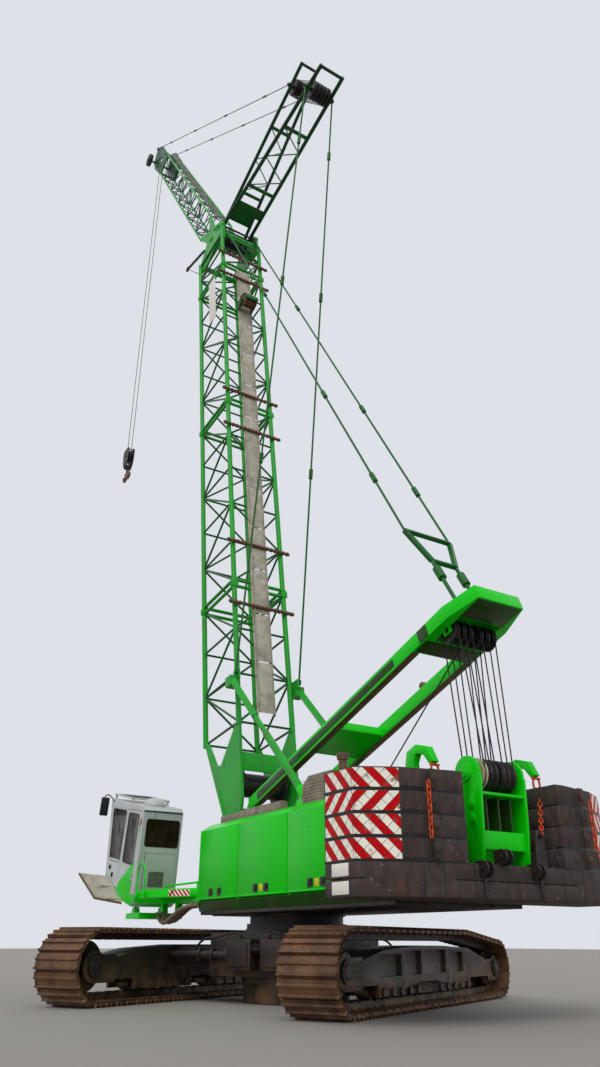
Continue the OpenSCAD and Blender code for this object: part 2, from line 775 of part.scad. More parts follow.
module cab_seat() {
    color(DARK) on_cab() {
        slab([[500, floor_z(500) + running], [900, floor_z(900) + running], [900, 420], [500, 420]], 460);
        slab([[420, 420], [980, 420], [1000, 540], [560, 560], [460, 1180], [340, 1160]], 480);
        both_sides() slab([[600, floor_z(600) + running], [900, floor_z(900) + running], [940, 500], [1150, 560],
                           [1150, 640], [520, 640], [520, 500]], 110, 305);
    }
}

module cab_door() {
    color(GREY) on_cab() difference() {
        block([door_x[0] + 8, cab_width / 2 - cab_wall + 4, door_z[0] + 8], [door_x[1] - 8, cab_width / 2, door_z[1] - 8]);
        block([door_x[0] + 110, cab_width / 2 - cab_wall - 5, 760], [door_x[1] - 110, cab_width / 2 + 5, door_z[1] - 90]);
    }
    color(GREY) on_cab() for (z = hinge_low) knuckle_at(z + knuckle, knuckle, 1);
    color([0.1, 0.12, 0.13]) on_cab()
        block([door_x[0] + 109, cab_width / 2 - 30, 759], [door_x[1] - 109, cab_width / 2 - 20, door_z[1] - 89]);
}

// Lattice work

// Corner k of a lattice box of half width w between depths r and f at station s
function corner(b, k) = [k == 0 || k == 3 ? b[2] : b[3], k < 2 ? b[1] : -b[1], b[0]];
function between(a, b, t) = a + (b - a) * t;

// A four-chord lattice from box a to box b: [station, half width, rear, front]
module lattice(a, b, bays, cd, ld) {
    for (k = [0:3]) rod(corner(a, k), corner(b, k), cd, chord_fn);
    margin = chord_tail / (b[0] - a[0]);
    function station(i) = between(a, b, margin + (1 - 2 * margin) * i / bays);
    for (i = [0:bays]) {
        p = station(i);
        for (k = [0:3]) rod(corner(p, k), corner(p, (k + 1) % 4), ld);
        if (i < bays) {
            q = station(i + 1);
            for (k = [0:3])
                if ((i + k) % 2 == 0) rod(corner(p, k), corner(q, (k + 1) % 4), ld);
                else rod(corner(p, (k + 1) % 4), corner(q, k), ld);
        }
    }
}

module on_boom() {
    translate([foot_x, 0, foot_z]) rotate([0, 90 - boom_angle, 0]) children();
}

joint_gap = running;
mid_section = (boom_length - base_section - head_section) / 2;
base_end = base_section;
mid_end = base_section + mid_section;
upper_end = base_section + 2 * mid_section;
foot_plate_end = 2500;
function boom_box(s) = [s, chord_half_width, chord_rear, chord_front];

module boom_base() {
    color(GREEN) on_boom() difference() {
        union() {
            lattice(boom_box(foot_plate_end), boom_box(base_end - joint_gap), 3, chord_d, lacing_d);
            both_sides() slab([
                [-150, -60], [60, -150], [190, 60], [520, 900], [chord_front + 10, 2600],
                [chord_front - 120, 2620], [700, 1900], [480, 1850], [chord_rear + 60, 2600],
                [chord_rear - 60, 2600], [chord_rear - 60, 900]
            ], 70, chord_half_width);
            // Cross tube and cross plate at the foot
            drum([60, 0, 700], 120, 2 * chord_half_width);
            block([chord_rear - 20, -chord_half_width, 1500], [chord_rear + 20, chord_half_width, 1900]);
        }
        drum([0, 0, 0], pin_r + 0.5, 2 * chord_half_width + 200);
    }
}

module boom_middle() {
    color(GREEN) on_boom()
        lattice(boom_box(base_end), boom_box(mid_end - joint_gap), 5, chord_d, lacing_d);
}

module boom_upper() {
    color(GREEN) on_boom()
        lattice(boom_box(mid_end), boom_box(upper_end - joint_gap), 5, chord_d, lacing_d);
}

head_r = 300;
head_y = chord_half_width - 60;
jib_pin_r = 60;
strut_pin_r = 50;

module boom_head() {
    color(GREEN) on_boom() difference() {
        union() {
            lattice(boom_box(upper_end), boom_box(boom_length - 640), 2, chord_d, lacing_d);
            both_sides() slab([
                [chord_rear - 60, boom_length - 1000], [chord_front + 60, boom_length - 1000],
                [chord_front + 60, boom_length - 500], [jib_foot_out + 180, boom_length + 240],
                [jib_foot_out - 180, boom_length + 240], [chord_rear + 100, boom_length + 60],
                [chord_rear - 60, boom_length - 400]
            ], 60, head_y);
            for (x = [chord_rear + 10, chord_front - 10])
                block([x - 20, -head_y, boom_length - 820], [x + 20, head_y, boom_length - 560]);
        }
        drum([jib_foot_out, 0, boom_length], jib_pin_r + 0.5, 2 * chord_half_width + 200);
    }
    color(DARK) on_boom() drum([0, 0, boom_length], strut_pin_r, 2 * chord_half_width - 60);
    color(DARK) on_boom() drum([pend_pin.x, 0, pend_pin.y], tie_pin_r, 2 * chord_half_width - 120);
    color(DARK) on_boom() {
        drum([100, 0, boom_length - 500], 50, 2 * chord_half_width - 100);
        for (y = [-330, -110, 110, 330]) drum([100, y, boom_length - 500], head_r, 60);
    }
}

walk_width = 450;

module ladder(s0, s1, x, w, rung) {
    both_sides() rod([x, w / 2, s0], [x, w / 2, s1], rail_d, chord_fn);
    n = floor((s1 - s0) / rung);
    for (i = [0:n]) rod([x, -w / 2, s0 + (i + 0.5) * (s1 - s0) / (n + 1)], [x, w / 2, s0 + (i + 0.5) * (s1 - s0) / (n + 1)], 26);
}

rail_d = 40;
flat_share = cos(180 / lace_fn);
walk_x = chord_rear - flat_share * lacing_d / 2 - rail_d / 2 - running;
roller_bars = [5500, 7250, 11100, 12400, 17450, 18450];
roller_bar_d = 70;
roller_half = 900;

module boom_walkway() {
    color(TAN) on_boom() {
        ladder(foot_plate_end + 300, upper_end - 60, walk_x, walk_width, 420);
    }
}

module boom_rollers() {
    x = chord_rear - chord_d / 2 - 6 - roller_bar_d / 2;
    color(BROWN) on_boom() for (s = roller_bars) {
        rod([x, -roller_half, s], [x, roller_half, s], roller_bar_d, tube_fn);
        both_sides() block([x, chord_half_width - 30, s - 25], [chord_rear - chord_d / 2 - running, chord_half_width + 30, s + 25]);
    }
}

boom_drum_s = 1350;
module boom_winch() {
    color(DARK) on_boom() {
        drum([150, 0, boom_drum_s], 250, 2 * chord_half_width - 300);
        for (s = [-1, 1]) drum([150, s * (chord_half_width - 170), boom_drum_s], 380, 40);
        drum([150, 0, boom_drum_s], 80, 2 * chord_half_width - 70 - 2 * running);
    }
}

// Backstops: from brackets on the rear chords down to seats on the deck
stop_y = 880;
stop_top = [1330, stop_y, 6190];
stop_foot = [-1500, stop_y, 3487];
stop_axis = (stop_foot - stop_top) / norm(stop_foot - stop_top);

module backstops() {
    color(GREEN) both_sides() {
        rod(stop_top, stop_top + stop_axis * 1500, 190, 4);
        rod(stop_top + stop_axis * 1400, stop_top + stop_axis * 2250, 110, tube_fn);
        rod(stop_top + stop_axis * 2150, stop_foot, 150, tube_fn);
        on_boom() block([chord_rear - 190, chord_half_width + chord_d / 2 + running, 3330], [chord_rear + 60, stop_y + 90, 3560]);
        on_boom() block([stay_pin.x - 60, chord_half_width + chord_d / 2 + running, 3500], [chord_rear - 20, stay_y - eye_w / 2 - 10, stay_pin.y + 60]);
        on_boom() drum([stay_pin.x, stay_y - 15, stay_pin.y], tie_pin_r, 2 * eye_w + 30, tube_fn);
    }
}

// Struts at the boom head

strut_foot = [foot_x, 0, foot_z] + boom_length * [cos(boom_angle), 0, sin(boom_angle)];
jib_pin = [foot_x, 0, foot_z] + boom_length * [cos(boom_angle), 0, sin(boom_angle)]
    + jib_foot_out * [sin(boom_angle), 0, -cos(boom_angle)];

// A strut drawn along +X from its foot pin, between half widths at foot and head. Its legs run on
// past the tip pin and are joined there by a cross tube, as a guard over the sheaves.
strut_lug = 50;
leg_inset = 14;
strut_tip = 750;
strut_bars = [0.3, 0.66];

function strut_y(w, t) = w[0] + (w[1] - w[0]) * t;

module strut(len, w, leg, bore) {
    both_sides() {
        rod([190, w[0] - leg_inset, 0], [len, w[1], 0], leg, tube_fn);
        difference() {
            slab([[-90, -60], [-40, -100], [60, -100], [260, -50], [260, 50], [60, 100], [-40, 100], [-90, 60]],
                 strut_lug, w[0]);
            drum([0, w[0], 0], bore, strut_lug + 2);
        }
        // Cheek that carries the tip pin
        slab([[len - strut_tip - 160, -leg / 2], [len - strut_tip + 160, -leg / 2], [len - strut_tip + 120, leg],
              [len - strut_tip - 120, leg]], leg * 0.5, strut_y(w, 0.88));
    }
    rod([len - leg * 0.4, -w[1], 0], [len - leg * 0.4, w[1], 0], leg * 0.8, tube_fn);
    for (t = strut_bars) rod([len * t, -strut_y(w, t), 0], [len * t, strut_y(w, t), 0], leg, tube_fn);
    // Foot plate between the legs and thin lacing between the bars
    block([len * 0.14, -strut_y(w, 0.2), -20], [len * 0.2, strut_y(w, 0.2), 20]);
    steps = 4;
    for (i = [0:steps - 1]) {
        t0 = strut_bars[0] + (strut_bars[1] - strut_bars[0]) * i / steps;
        t1 = strut_bars[0] + (strut_bars[1] - strut_bars[0]) * (i + 1) / steps;
        s = i % 2 == 0 ? 1 : -1;
        rod([len * t0, s * strut_y(w, t0), 0], [len * t1, -s * strut_y(w, t1), 0], leg * 0.32);
    }
}

strut_sheave_r = 265;

module strut_sheaves(len, w) {
    drum([len - strut_tip, 0, 0], tie_pin_r, 2 * w + 320);
    for (y = [-0.62, -0.31, 0, 0.31, 0.62]) drum([len - strut_tip, y * w, 0], strut_sheave_r, w * 0.2);
}

rear_w = [535, 380];
front_w = [465, 280];

module rear_strut_frame() {
    translate(strut_foot) rotate([0, 180 + rear_strut_angle, 0]) {
        color(GREEN) strut(rear_strut, rear_w, 120, strut_pin_r + running);
        color(DARK) strut_sheaves(rear_strut, rear_w[1]);
    }
}

module front_strut_frame() {
    translate([jib_pin.x, 0, jib_pin.z]) rotate([0, 180 + front_strut_angle, 0]) {
        color(GREEN) strut(front_strut, front_w, 110, jib_pin_r + running);
        color(DARK) strut_sheaves(front_strut, front_w[1]);
    }
}

// Pendants

pendant_d = 46;
tie_pin_r = 35;
eye_r = 75;
eye_w = 40;
// Pins in the boom's own plane: depth and station
pend_pin = [chord_rear + 60, boom_length - 230];
stay_pin = [chord_rear - 200, 3650];
function boom_point(q, y = 0) = [foot_x, y, foot_z]
    + q.y * [cos(boom_angle), 0, sin(boom_angle)] + q.x * [sin(boom_angle), 0, -cos(boom_angle)];
pend_top = boom_point(pend_pin);
mast_axis = [-cos(mast_angle), 0, sin(mast_angle)];
mast_normal = [sin(mast_angle), 0, cos(mast_angle)];
mast_pin = [foot_x, 0, foot_z];
pend_s = mast_length - 600;
pend_foot = mast_pin + pend_s * mast_axis + (mast_rise + mast_depth / 2 + 130) * mast_normal;

// A tie with joint links every so often
module tie(a, b, d, links) {
    rod(a, b, d, tube_fn);
    v = (b - a) / norm(b - a);
    for (t = links) rod(between(a, b, t) - 130 * v, between(a, b, t) + 130 * v, d * 2.2, tube_fn);
}

// A tie between two pins that lie across the machine, with an eye round each
module pinned_tie(a, b, d, links, w = eye_w) {
    difference() {
        union() {
            tie(a, b, d, links);
            for (c = [a, b]) drum(c, eye_r, w, tube_fn);
        }
        for (c = [a, b]) drum(c, tie_pin_r + running, w + d, tube_fn);
    }
}

// The pendants run to a wide bar and draw together to a narrow one before the mast head
spread_wide = 0.9;
spread_narrow = 0.941;
spread_y = [560, 530, 270];

module boom_pendants() {
    wide = between(pend_top, pend_foot, spread_wide);
    narrow = between(pend_top, pend_foot, spread_narrow);
    color(GREEN) {
        both_sides() {
            difference() {
                union() {
                    tie([pend_top.x, spread_y[0], pend_top.z], [wide.x, spread_y[1], wide.z], pendant_d, [0.35, 0.7, 0.9]);
                    drum([pend_top.x, spread_y[0], pend_top.z], eye_r, eye_w, tube_fn);
                }
                drum([pend_top.x, spread_y[0], pend_top.z], tie_pin_r + running, eye_w + pendant_d, tube_fn);
            }
            rod([wide.x, spread_y[1], wide.z], [narrow.x, spread_y[2], narrow.z], 110, 4);
            difference() {
                union() {
                    tie([narrow.x, spread_y[2], narrow.z], [pend_foot.x, spread_y[2], pend_foot.z], pendant_d * 1.5, [0.3]);
                    drum([pend_foot.x, spread_y[2], pend_foot.z], eye_r, eye_w, tube_fn);
                }
                drum([pend_foot.x, spread_y[2], pend_foot.z], tie_pin_r + running, eye_w + 2 * pendant_d, tube_fn);
            }
        }
        rod([wide.x, -spread_y[1], wide.z], [wide.x, spread_y[1], wide.z], 110, 4);
        rod([narrow.x, -spread_y[2], narrow.z], [narrow.x, spread_y[2], narrow.z], 110, 4);
    }
}

rear_head = strut_foot + (rear_strut - strut_tip) * [-cos(rear_strut_angle), 0, sin(rear_strut_angle)];

stay_y = chord_half_width + 145;

module strut_pendants() {
    color(GREEN) both_sides()
        pinned_tie([rear_head.x, rear_w[1] + 100, rear_head.z], boom_point(stay_pin, stay_y), pendant_d, [0.12, 0.4, 0.7]);
}

// Mast, drawn along +X from the foot pin with +Z up across it, then laid back

module on_mast() {
    translate(mast_pin) rotate([0, 180 + mast_angle, 0]) mirror([0, 0, 1]) children();
}

mast_head_x = mast_length - 1550;
mast_taper_x = mast_length - 620;
mast_end_half = 480;
mast_sheave_s = mast_length - 850;
mast_sheave_r = 190;
mast_low = mast_rise - mast_depth / 2;
mast_high = mast_rise + mast_depth / 2;
mast_sheave_z = mast_low - 40;
mast_outer = mast_half_width + mast_leg_width / 2;
mast_skin = 30;
head_pitch = 145;
head_first = 110;

module mast_frame() {
    color(GREEN) on_mast() difference() {
        union() {
            both_sides() {
                block([700, mast_half_width - mast_leg_width / 2, mast_low], [mast_head_x + 200, mast_outer, mast_high]);
                slab([[-150, -100], [0, -170], [150, -60], [900, mast_low], [900, mast_high], [700, mast_high], [-150, 100]],
                     60, mast_half_width + 10);
            }
            // Cross plate between the legs
            block([3000, -mast_half_width, mast_low + 40], [3900, mast_half_width, mast_high - 40]);
            // Head box with a pocket from below for its sheaves
            difference() {
                plan([
                    [mast_head_x, -mast_outer], [mast_taper_x, -mast_outer], [mast_length, -mast_end_half],
                    [mast_length, mast_end_half], [mast_taper_x, mast_outer], [mast_head_x, mast_outer]
                ], mast_low, mast_high);
                block([mast_sheave_s - 330, -mast_end_half + mast_skin, mast_low - 1],
                      [mast_sheave_s + 330, mast_end_half - mast_skin, mast_high - mast_skin]);
            }
            both_sides() slab([
                [pend_s - 120, mast_high - 10], [pend_s + 120, mast_high - 10],
                [pend_s + 60, mast_high + 190], [pend_s - 60, mast_high + 190]
            ], 50, spread_y[2] - 60);
            both_sides() drum([pend_s, spread_y[2] - 20, mast_high + 130], tie_pin_r, 110, tube_fn);
            // Cheeks that carry the sheave shaft
            for (y = [-mast_end_half + 20, 0, mast_end_half - 20])
                slab([[mast_sheave_s - 110, mast_high - mast_skin], [mast_sheave_s - 90, mast_sheave_z - 60],
                      [mast_sheave_s + 90, mast_sheave_z - 60], [mast_sheave_s + 110, mast_high - mast_skin]], 30, y);
        }
        drum([0, 0, 0], pin_r + 0.5, 2000);
        drum([mast_sheave_s, 0, mast_sheave_z], 45 + running, 2 * mast_end_half, tube_fn);
    }
}

module mast_sheaves() {
    color(DARK) on_mast() {
        for (s = [-1, 1], i = [0:2])
            drum([mast_sheave_s, s * (head_first + i * head_pitch), mast_sheave_z], mast_sheave_r, 80);
        drum([mast_sheave_s, 0, mast_sheave_z], 45, 2 * mast_end_half - 10, tube_fn);
    }
}

// Jib

module on_jib() {
    translate(jib_pin) rotate([0, 90 - jib_angle, 0]) children();
}

jib_foot_end = 1900;
jib_head_length = 2300;
jib_head_start = jib_length - jib_head_length;
jib_rear = jib_front - jib_depth;

module jib_frame() {
    color(DARK_GREEN) on_jib() {
            lattice([jib_foot_end, jib_half_width, jib_rear, jib_front], [jib_head_start, jib_half_width - 60, jib_rear + 20, jib_front - 20], 10, jib_chord_d, jib_lacing_d);
            both_sides() slab([
                [-90, -100], [90, -100], [140, 60], [jib_front + 45, jib_foot_end + 60],
                [jib_front - 150, jib_foot_end + 80], [0, 1300], [jib_rear + 130, jib_foot_end + 60],
                [jib_rear - 40, jib_foot_end + 60], [-140, 60]
            ], 45, jib_half_width);
            drum([0, 0, 0], 110, 2 * jib_half_width);
            drum([0, 0, 0], jib_pin_r, 2 * chord_half_width);
    }
}

hoist_drop = 150;
hoist_at = [hoist_out, jib_length - hoist_drop];
hoist_shaft_r = 45;
jib_wheel_y = 620;
jib_tie_pin = [jib_rear + 260, jib_length + 180];

module jib_head() {
    color(GREEN) on_jib() {
        both_sides() difference() {
            slab([
                [jib_rear - 20, jib_head_start + running], [jib_front + 20, jib_head_start + running],
                [jib_front + 120, jib_length - 700], [jib_front - 30, jib_length + 60],
                [jib_rear + 320, jib_length + 280], [jib_rear + 180, jib_length + 270], [jib_rear - 50, jib_length - 500]
            ], 40, jib_half_width - 60);
            // Lightening hole
            drum([(jib_front + jib_rear) / 2, jib_half_width - 60, jib_length - 1300], 190, 42);
        }
        block([jib_rear - 20, -jib_half_width + 60, jib_head_start + 100], [jib_rear + 10, jib_half_width - 60, jib_head_start + 500]);
        block([jib_front - 30, -jib_half_width + 60, jib_head_start + 100], [jib_front, jib_half_width - 60, jib_head_start + 500]);
        drum([jib_tie_pin.x, 0, jib_tie_pin.y], tie_pin_r, 2 * jib_half_width + 60, tube_fn);
    }
    color(DARK) on_jib() {
        drum([hoist_at.x, 0, hoist_at.y], hoist_shaft_r, 2 * jib_wheel_y + 220, tube_fn);
        both_sides() drum([hoist_at.x, jib_wheel_y, hoist_at.y], 290, 150);
        // Head rollers between the plates
        for (s = [-1, 1]) drum([0, s * 120, jib_length], 190, 70);
        drum([0, 0, jib_length], hoist_shaft_r, 2 * jib_half_width - 80, tube_fn);
    }
}

jib_walk_x = jib_rear - flat_share * jib_lacing_d / 2 - rail_d / 2 - running;

module jib_walkway() {
    color(TAN) on_jib() ladder(jib_foot_end, jib_head_start - 100, jib_walk_x, 380, 450);
}

front_head = jib_pin + (front_strut - strut_tip) * [-cos(front_strut_angle), 0, sin(front_strut_angle)];
jib_axis = [cos(jib_angle), 0, sin(jib_angle)];
jib_normal = [sin(jib_angle), 0, -cos(jib_angle)];
jib_pend_top = jib_pin + jib_tie_pin.y * jib_axis + jib_tie_pin.x * jib_normal;

module jib_pendants() {
    color(IRON) both_sides()
        pinned_tie([front_head.x, front_w[1] + 95, front_head.z], [jib_pend_top.x, jib_half_width - 5, jib_pend_top.z], 30,
            [0.13, 0.38, 0.62, 0.85], 30);
}

// Hoist falls and hook

hoist_pin = jib_pin + hoist_at.y * jib_axis + hoist_at.x * jib_normal;
fall_half = 230;

module hoist_sheave() {
    color(DARK) difference() {
        drum([hoist_pin.x, 0, hoist_pin.z], hoist_r, hoist_width);
        drum([hoist_pin.x, 0, hoist_pin.z], hoist_shaft_r + 0.5, hoist_width + 30);
    }
}

block_top = hoist_pin.z - fall_length;

hoist_r = fall_half + 20;
hoist_width = 110;
block_sheave_r = 250;
block_sheave_drop = 220;
rope_in = fall_half - rope_d / 2;
rope_top = hoist_pin.z - sqrt(hoist_r * hoist_r - rope_in * rope_in) - running;
rope_low = block_top - block_sheave_drop + sqrt(block_sheave_r * block_sheave_r - rope_in * rope_in) + running;

module hoist_ropes() {
    color(DARK) for (s = [-1, 1])
        translate([hoist_pin.x + s * fall_half, 0, rope_low]) cylinder(d = rope_d, h = rope_top - rope_low, $fn = 12);
}

module hook_block() {
    color(DARK) translate([hoist_pin.x, 0, block_top]) {
        for (s = [-1, 1]) slab([
            [-290, -60], [-230, 110], [230, 110], [290, -60], [240, -520], [90, -760], [-90, -760], [-240, -520]
        ], 40, s * 110);
        drum([0, 0, -block_sheave_drop], block_sheave_r, 70);
        drum([0, 0, -block_sheave_drop], 50, 300);
        block([-90, -130, -800], [90, 130, -640]);
    }
}

module hook() {
    color(BROWN) translate([hoist_pin.x, 0, block_top - 800 - running]) {
        translate([0, 0, -260]) cylinder(r = 55, h = 260, $fn = tube_fn);
        for (s = [-1, 1]) translate([s * 170, 0, -330]) rotate([90, 0, 0]) difference() {
            cylinder(r = 190, h = 110, center = true, $fn = round_fn);
            cylinder(r = 90, h = 120, center = true, $fn = round_fn);
            translate([s * 100 - 100, 60, -80]) cube([200, 200, 160]);
        }
    }
}

crawler_frame_left();
crawler_frame_right();
track_left();
track_right();
track_wheels_left();
track_wheels_right();
carbody();
slewing_ring();
revolving_frame();
housing_left();
housing_right();
engine_block();
deck_winches();
roof_boxes();
exhaust_stack();
counterweight_base();
counterweight_left();
counterweight_right();
lower_sheave_block();
lower_sheaves();
ballast_arms();
cab_platform();
cab_shell();
cab_glass();
cab_seat();
cab_door();
door_left_1();
door_left_2();
door_left_3();
door_right_1();
door_right_2();
door_right_3();
mast_frame();
mast_sheaves();
boom_base();
boom_middle();
boom_upper();
boom_head();
boom_walkway();
boom_rollers();
boom_winch();
backstops();
rear_strut_frame();
boom_pendants();
strut_pendants();
jib_frame();
jib_head();
jib_walkway();
front_strut_frame();
jib_pendants();
hoist_sheave();
hoist_ropes();
hook_block();
hook();
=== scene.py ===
"""Looks of a crawler crane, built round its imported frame.

All sizes are metres in the frame's own axes: +X is the way the boom points, +Y is the left side
and +Z is up. Each sub-assembly is a class that holds its sizes, models its pieces and dresses them.
"""

from __future__ import annotations

import json
import logging
import math
from collections.abc import Callable, Iterable, Sequence
from dataclasses import dataclass, field
from enum import Enum

import bmesh
import bpy
from mathutils import Matrix, Vector

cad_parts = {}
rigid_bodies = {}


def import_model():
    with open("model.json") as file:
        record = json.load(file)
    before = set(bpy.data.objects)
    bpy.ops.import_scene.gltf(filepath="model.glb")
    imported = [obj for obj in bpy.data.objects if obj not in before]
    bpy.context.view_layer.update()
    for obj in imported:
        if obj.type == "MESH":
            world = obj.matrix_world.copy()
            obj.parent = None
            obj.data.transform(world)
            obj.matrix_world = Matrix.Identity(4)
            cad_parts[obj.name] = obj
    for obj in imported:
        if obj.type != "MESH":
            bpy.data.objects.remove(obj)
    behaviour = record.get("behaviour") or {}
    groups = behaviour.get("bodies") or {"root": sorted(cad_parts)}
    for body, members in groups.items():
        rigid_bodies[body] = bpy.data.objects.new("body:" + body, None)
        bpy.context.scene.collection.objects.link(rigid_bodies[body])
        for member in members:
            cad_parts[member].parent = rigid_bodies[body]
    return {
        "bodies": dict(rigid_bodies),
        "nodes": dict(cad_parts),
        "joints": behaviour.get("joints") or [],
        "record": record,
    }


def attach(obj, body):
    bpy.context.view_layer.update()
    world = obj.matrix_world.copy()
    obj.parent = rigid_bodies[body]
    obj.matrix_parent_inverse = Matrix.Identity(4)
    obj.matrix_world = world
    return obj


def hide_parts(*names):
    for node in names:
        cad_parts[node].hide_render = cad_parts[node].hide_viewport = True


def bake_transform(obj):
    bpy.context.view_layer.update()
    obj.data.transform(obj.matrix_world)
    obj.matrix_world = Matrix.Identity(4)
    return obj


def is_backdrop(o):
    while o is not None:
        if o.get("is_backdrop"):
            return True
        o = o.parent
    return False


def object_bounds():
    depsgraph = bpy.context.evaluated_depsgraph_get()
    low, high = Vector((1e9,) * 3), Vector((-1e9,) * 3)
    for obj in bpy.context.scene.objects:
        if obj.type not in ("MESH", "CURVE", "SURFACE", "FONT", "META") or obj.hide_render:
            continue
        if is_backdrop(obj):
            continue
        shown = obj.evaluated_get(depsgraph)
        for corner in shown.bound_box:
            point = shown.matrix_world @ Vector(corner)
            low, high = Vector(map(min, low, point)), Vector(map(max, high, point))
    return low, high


log = logging.getLogger("crane")

Point = tuple[float, float, float]
Flat = tuple[float, float]
Colour = tuple[float, float, float]
Piece = bpy.types.Object
Socket = bpy.types.NodeSocket


def tone(red: int, green: int, blue: int) -> Colour:
    """Turn a colour as a screen shows it, 0 to 255, into the linear one that shaders read.

    Args:
        red: Red, 0 to 255.
        green: Green, 0 to 255.
        blue: Blue, 0 to 255.

    Returns:
        The same colour in linear light, 0 to 1.
    """
    def linear(value: int) -> float:
        """Linear light of one channel."""
        share = value / 255
        return share / 12.92 if share <= 0.04045 else ((share + 0.055) / 1.055) ** 2.4

    return linear(red), linear(green), linear(blue)


class Element(Enum):
    """What is picked in edit mode."""

    VERT = "VERT"
    EDGE = "EDGE"
    FACE = "FACE"


